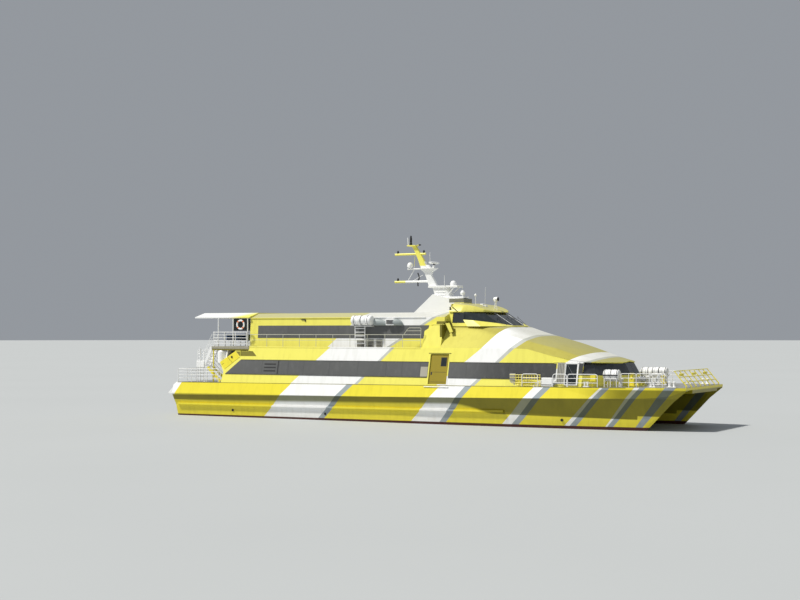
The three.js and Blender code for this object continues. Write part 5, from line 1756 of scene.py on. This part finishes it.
def make_foredeck_side(side, sign):
    """One side's lattice gate, lockers, low bollards and rails, capstan and vent."""
    form = Form()
    side_gate(form)
    base = float(deck(11)) + 0.004
    form.boxes([[10.5, 11.3, -4.62, -4.42, base, base + 0.58]], 0.03)
    form.boxes([[10.56, 11.24, -4.63, -4.6, base + 0.1, base + 0.14]], 0.004, 2)
    base = float(deck(13.9)) + 0.004
    form.boxes([[13.72, 14.1, -4.15, -3.75, base + 0.34, base + 0.74]], 0.02, 1)
    for x in (13.8, 14.02):
        form.bars([[x, -3.95, base]], [[x, -3.95, base + 0.36]], 0.03, 8, 1)
    for x, y in LOW_BOLLARDS:
        base = float(deck(x + 0.2))
        form.boxes([[x, x + 0.4, y - 0.1, y + 0.1, base + 0.004, base + 0.06]], 0.01)
        posts = np.array([[x + 0.1, y, base + 0.05], [x + 0.3, y, base + 0.05]])
        form.bars(posts, posts + [0, 0, 0.26], 0.055, 12)
        form.bars(posts + [0, 0, 0.24], posts + [0, 0, 0.3], 0.075, 12)
    for start, end in zip(LOW_RAIL[:-1], LOW_RAIL[1:]):
        low_rail(form, np.array(on_deck(*start, 0.001)), np.array(on_deck(*end, 0.001)))
    base = float(deck(16.1))
    form.boxes([[15.85, 16.4, -3.3, -2.75, base + 0.004, base + 0.1]], 0.02, 1)
    form.boxes([[15.95, 16.3, -3.15, -2.9, base + 0.08, base + 0.55]], 0.02, 1)
    form.turned(CAPSTAN, (16.12, -3.02, base + 0.52), "z", 18, 1)
    form.turned(VENT, on_deck(15.2, -2.6, 0.001), "z", 20)
    base = float(deck(19.9))
    form.bars([[19.84, -3.4, base + 0.1]], [[19.05, -3.4, base + 1.02]], 0.024, 8, 1)
    build(
        form.to_side(sign),
        f"foredeck_gear_{side}",
        finishes("rail white", "rail yellow", "black rubber", "vent grey"),
    )


def side_gate(form):
    """The lattice gate by the forward door, with a slatted board at its after end."""
    low = np.array([on_deck(x, GATE_OUT, 0.01) for x in np.linspace(8.75, 10.45, 10)])
    form.bars(low, low + [0, 0, 0.76], 0.02, 6, 1)
    for z in GATE_BARS:
        form.bars([on_deck(8.3, GATE_OUT, z)], [on_deck(10.5, GATE_OUT, z)], 0.02, 6, 1)
    slats = float(deck(8.5)) + np.arange(0.1, 0.8, 0.1)
    form.boxes([[8.3, 8.68, -4.68, -4.64, z, z + 0.06] for z in slats], 0.006, 3)
    base = float(deck(8.5))
    form.boxes([[8.28, 8.7, -4.63, -4.6, base + 0.05, base + 0.85]], 0.01, 3)


def low_rail(form, start, end):
    """A bent loop from foot to foot, a post at its middle and two pipes along it."""
    rise = np.array([0, 0, 0.86])
    loop = [start, start + rise, end + rise, end]
    form.tube(fillet(loop, 0.1), 0.022, np.cross(end - start, [0, 0, 1]), 8)
    middle = (start + end) / 2
    form.bars([middle], [middle + rise], 0.02, 8)
    for lift in (0.3, 0.58):
        form.bars([start + [0, 0, lift]], [end + [0, 0, lift]], 0.018, 8)


# Waterjets

JET_Y, JET_Z = -3.7, -0.52
BOLTS, BOLT_CIRCLE, BOLT_X = 16, 0.35, -18.96


def make_jets():
    """Cast metal for the jets, and a ring of bolts round each housing."""
    dress([*pair("jet_housing"), *pair("steering_nozzle")], "cast alloy")
    dress(pair("reversing_bucket"), "brushed steel")
    turn = (np.arange(BOLTS) + 0.5) * 2 * math.pi / BOLTS
    y, z = JET_Y + BOLT_CIRCLE * np.cos(turn), JET_Z + BOLT_CIRCLE * np.sin(turn)
    feet = np.column_stack([np.full(BOLTS, BOLT_X), y, z])
    for side, sign in SIDES.items():
        form = Form()
        form.bars(feet, feet - [0.025, 0, 0], 0.018, 6)
        build(form.to_side(sign), f"jet_bolts_{side}", finishes("brushed steel"))


# Stage

FLOOR_RADIUS, FLOOR_SIDES = 900, 64
SKY, SUNLIGHT = (0.74, 0.79, 0.86, 1), (1.0, 0.97, 0.9)
SUN_FROM = (-0.45, -0.36, 0.82)
SUN_SPREAD = 5  # degrees, which sets how soft the shadows' edges are
# The photo's camera, as fitted to the boat's lines: place, tilt and turn in degrees, lens.
EYE, EYE_TILT, EYE_TURN = (47.62, -88.92, 6.28), 91.26, 29.45
LENS, SENSOR = 63.6, 36


def make_stage(looks):
    """A pale floor at the waterline, high sun from aft and starboard, soft sky, and the camera."""
    scene = bpy.context.scene
    scene.view_settings.view_transform = "Standard"
    floor = bpy.data.meshes.new("floor")
    turn = np.linspace(0, 2 * math.pi, FLOOR_SIDES, endpoint=False)
    x, y = FLOOR_RADIUS * np.cos(turn), FLOOR_RADIUS * np.sin(turn)
    points = np.column_stack([x, y, np.zeros(FLOOR_SIDES)])
    floor.from_pydata(points.tolist(), [], [list(range(FLOOR_SIDES))])
    finish = Finish("studio floor", 0.7)
    finish.colour(finish.blend(finish.noise(0.05), (0.5, 0.52, 0.53), (0.47, 0.49, 0.5)))
    floor.materials.append(finish.material)
    ground = bpy.data.objects.new("floor", floor)
    scene.collection.objects.link(ground)
    world = bpy.data.worlds.new("studio")
    world.use_nodes = True
    back = world.node_tree.nodes["Background"]
    back.inputs["Color"].default_value = SKY
    back.inputs["Strength"].default_value = looks.sky_light
    scene.world = world
    sun = bpy.data.lights.new("key light", "SUN")
    sun.energy = looks.key_light
    sun.angle = math.radians(SUN_SPREAD)
    sun.color = SUNLIGHT
    lamp = bpy.data.objects.new("key light", sun)
    lamp.rotation_euler = Vector(SUN_FROM).to_track_quat("Z", "Y").to_euler()
    scene.collection.objects.link(lamp)
    camera = bpy.data.cameras.new("camera")
    camera.lens = LENS
    camera.sensor_width = SENSOR
    camera.clip_end = 1500
    eye = bpy.data.objects.new("camera", camera)
    eye.location = EYE
    eye.rotation_euler = (math.radians(EYE_TILT), 0, math.radians(EYE_TURN))
    scene.collection.objects.link(eye)
    scene.camera = eye


# Add-on


def tone(name, default, description):
    """A colour that the panel offers."""
    return bpy.props.FloatVectorProperty(
        name=name, description=description, default=default, size=3, min=0, max=1, subtype="COLOR"
    )


class FerryLooks(bpy.types.PropertyGroup):
    """Colours, light and small sizes of the ferry."""

    yellow: tone("Hull yellow", (0.87, 0.75, 0.055), "Main colour of the hulls")
    house_yellow: tone("House yellow", (0.93, 0.86, 0.155), "Colour of the deckhouses")
    roof_yellow: tone("Roof yellow", (0.86, 0.79, 0.15), "Colour of the wheelhouse roof")
    white: tone("White", (0.94, 0.945, 0.94), "Stripes, rails and mast")
    stripe_edge: tone("Stripe edge", (0.34, 0.39, 0.42), "Grey edge of each hull stripe")
    pale_edge: tone("House stripe edge", (0.55, 0.57, 0.54), "Grey edge of each stripe on the houses")
    # Painted shade under the knuckle and on the bow flare.
    belt: tone("Shade belt", (0.2, 0.205, 0.1), "What darkens the hulls under the knuckle")
    # Painted shade that darkens the level faces.
    level_shade: tone("Level shade", (0.36, 0.36, 0.26), "Faded tone of the faces that look up")
    boot_top: tone("Boot top", (0.085, 0.02, 0.016), "Antifouling below the waterline")
    deck_grey: tone("Deck grey", (0.3, 0.3, 0.27), "Non-slip deck coating")
    slab_edge: tone("Slab edge", (0.36, 0.34, 0.26), "Edge of the upper deck")
    rail_grey: tone("Rail grey", (0.62, 0.62, 0.5), "Pipe of the walkway rails")
    # Painted shade: the side door leaves are darkened to olive.
    door_shaded_olive: tone("Door", (0.3, 0.23, 0.004), "Leaf of the side doors")
    # Painted shade: it stands for shade in recesses, under overhangs and along the deck-edge seam.
    shade_olive: tone("Seam", (0.2, 0.175, 0.015), "Seams and recessed edges")
    saloon_glass: tone("Saloon glass", (0.12, 0.122, 0.122), "Window bands of the saloons")
    nose_glass: tone("Nose glass", (0.035, 0.04, 0.045), "Windows of the nose")
    bridge_glass: tone("Bridge glass", (0.02, 0.026, 0.028), "Windows of the wheelhouse")
    key_light: bpy.props.FloatProperty(
        name="Key light", description="Strength of the main light", default=3.8, min=0, max=20
    )
    sky_light: bpy.props.FloatProperty(
        name="Sky light", description="Strength of the light all round", default=0.4, min=0, max=10
    )
    pipe_radius: bpy.props.FloatProperty(
        name="Pipe radius", description="Radius of the rail pipes", default=0.024, min=0.01, max=0.05,
        subtype="DISTANCE", unit="LENGTH",
    )
    pane_gap: bpy.props.FloatProperty(
        name="Pane gap", description="Half the seal between two saloon windows", default=0.008, min=0.002,
        max=0.03, subtype="DISTANCE", unit="LENGTH",
    )


class FERRY_OT_finishes(bpy.types.Operator):
    """Makes every finish of the boat."""

    bl_idname = "ferry.finishes"
    bl_label = "Finishes"

    def execute(self, context):
        make_finishes(context.scene.ferry)
        return {"FINISHED"}


class FERRY_OT_hull(bpy.types.Operator):
    """Paints the hulls and adds their trim."""

    bl_idname = "ferry.hull"
    bl_label = "Hulls"

    def execute(self, context):
        make_hull()
        return {"FINISHED"}


class FERRY_OT_house(bpy.types.Operator):
    """Paints the house sides and adds their windows."""

    bl_idname = "ferry.house"
    bl_label = "Main house"

    def execute(self, context):
        make_house(context.scene.ferry)
        return {"FINISHED"}


class FERRY_OT_doors(bpy.types.Operator):
    """Makes the door leaves."""

    bl_idname = "ferry.doors"
    bl_label = "Doors"

    def execute(self, context):
        make_doors()
        return {"FINISHED"}


class FERRY_OT_upper_house(bpy.types.Operator):
    """Paints the upper house and adds its windows."""

    bl_idname = "ferry.upper_house"
    bl_label = "Upper house"

    def execute(self, context):
        make_upper_house()
        return {"FINISHED"}


class FERRY_OT_hood(bpy.types.Operator):
    """Makes the forward hood and the nose windows."""

    bl_idname = "ferry.hood"
    bl_label = "Hood and nose"

    def execute(self, context):
        make_hood()
        return {"FINISHED"}


class FERRY_OT_wheelhouse(bpy.types.Operator):
    """Makes the wheelhouse windows and roof."""

    bl_idname = "ferry.wheelhouse"
    bl_label = "Wheelhouse"

    def execute(self, context):
        make_wheelhouse()
        return {"FINISHED"}


class FERRY_OT_mast(bpy.types.Operator):
    """Makes the mast and the scanner."""

    bl_idname = "ferry.mast"
    bl_label = "Mast"

    def execute(self, context):
        make_mast()
        return {"FINISHED"}


class FERRY_OT_rails(bpy.types.Operator):
    """Makes the pipe rails."""

    bl_idname = "ferry.rails"
    bl_label = "Rails"

    def execute(self, context):
        make_rails(context.scene.ferry)
        return {"FINISHED"}


class FERRY_OT_canopy(bpy.types.Operator):
    """Makes the canopy ribs and the benches."""

    bl_idname = "ferry.canopy"
    bl_label = "Canopy"

    def execute(self, context):
        make_canopy()
        return {"FINISHED"}


class FERRY_OT_stairs(bpy.types.Operator):
    """Makes the stern stairs."""

    bl_idname = "ferry.stairs"
    bl_label = "Stairs"

    def execute(self, context):
        make_stairs()
        return {"FINISHED"}


class FERRY_OT_rafts(bpy.types.Operator):
    """Makes the raft canisters."""

    bl_idname = "ferry.rafts"
    bl_label = "Rafts"

    def execute(self, context):
        make_rafts()
        return {"FINISHED"}


class FERRY_OT_foredeck(bpy.types.Operator):
    """Makes the foredeck gear."""

    bl_idname = "ferry.foredeck"
    bl_label = "Foredeck"

    def execute(self, context):
        make_foredeck()
        return {"FINISHED"}


class FERRY_OT_jets(bpy.types.Operator):
    """Finishes the waterjets."""

    bl_idname = "ferry.jets"
    bl_label = "Waterjets"

    def execute(self, context):
        make_jets()
        return {"FINISHED"}


class FERRY_OT_stage(bpy.types.Operator):
    """Makes the floor, the lights and the camera."""

    bl_idname = "ferry.stage"
    bl_label = "Stage"

    def execute(self, context):
        make_stage(context.scene.ferry)
        return {"FINISHED"}


OPERATORS = (
    FERRY_OT_finishes,
    FERRY_OT_hull,
    FERRY_OT_house,
    FERRY_OT_doors,
    FERRY_OT_upper_house,
    FERRY_OT_hood,
    FERRY_OT_wheelhouse,
    FERRY_OT_mast,
    FERRY_OT_rails,
    FERRY_OT_canopy,
    FERRY_OT_stairs,
    FERRY_OT_rafts,
    FERRY_OT_foredeck,
    FERRY_OT_jets,
    FERRY_OT_stage,
)


class FERRY_PT_panel(bpy.types.Panel):
    """Lists the steps that build the ferry, and its looks."""

    bl_label = "Ferry"
    bl_space_type = "VIEW_3D"
    bl_region_type = "UI"
    bl_category = "Ferry"

    def draw(self, context):
        for operator in OPERATORS:
            self.layout.operator(operator.bl_idname)
        for name in FerryLooks.__annotations__:
            self.layout.prop(context.scene.ferry, name)


CLASSES = (FerryLooks, *OPERATORS, FERRY_PT_panel)


def register():
    """Adds the steps, the looks and the panel to Blender."""
    for kind in CLASSES:
        bpy.utils.register_class(kind)
    bpy.types.Scene.ferry = bpy.props.PointerProperty(type=FerryLooks)


def unregister():
    """Takes them out again, the last one first."""
    del bpy.types.Scene.ferry
    for kind in reversed(CLASSES):
        bpy.utils.unregister_class(kind)


def main():
    """Runs every step in order."""
    register()
    for operator in OPERATORS:
        getattr(bpy.ops.ferry, operator.bl_idname.split(".")[1])()


if __name__ == "__main__":
    main()
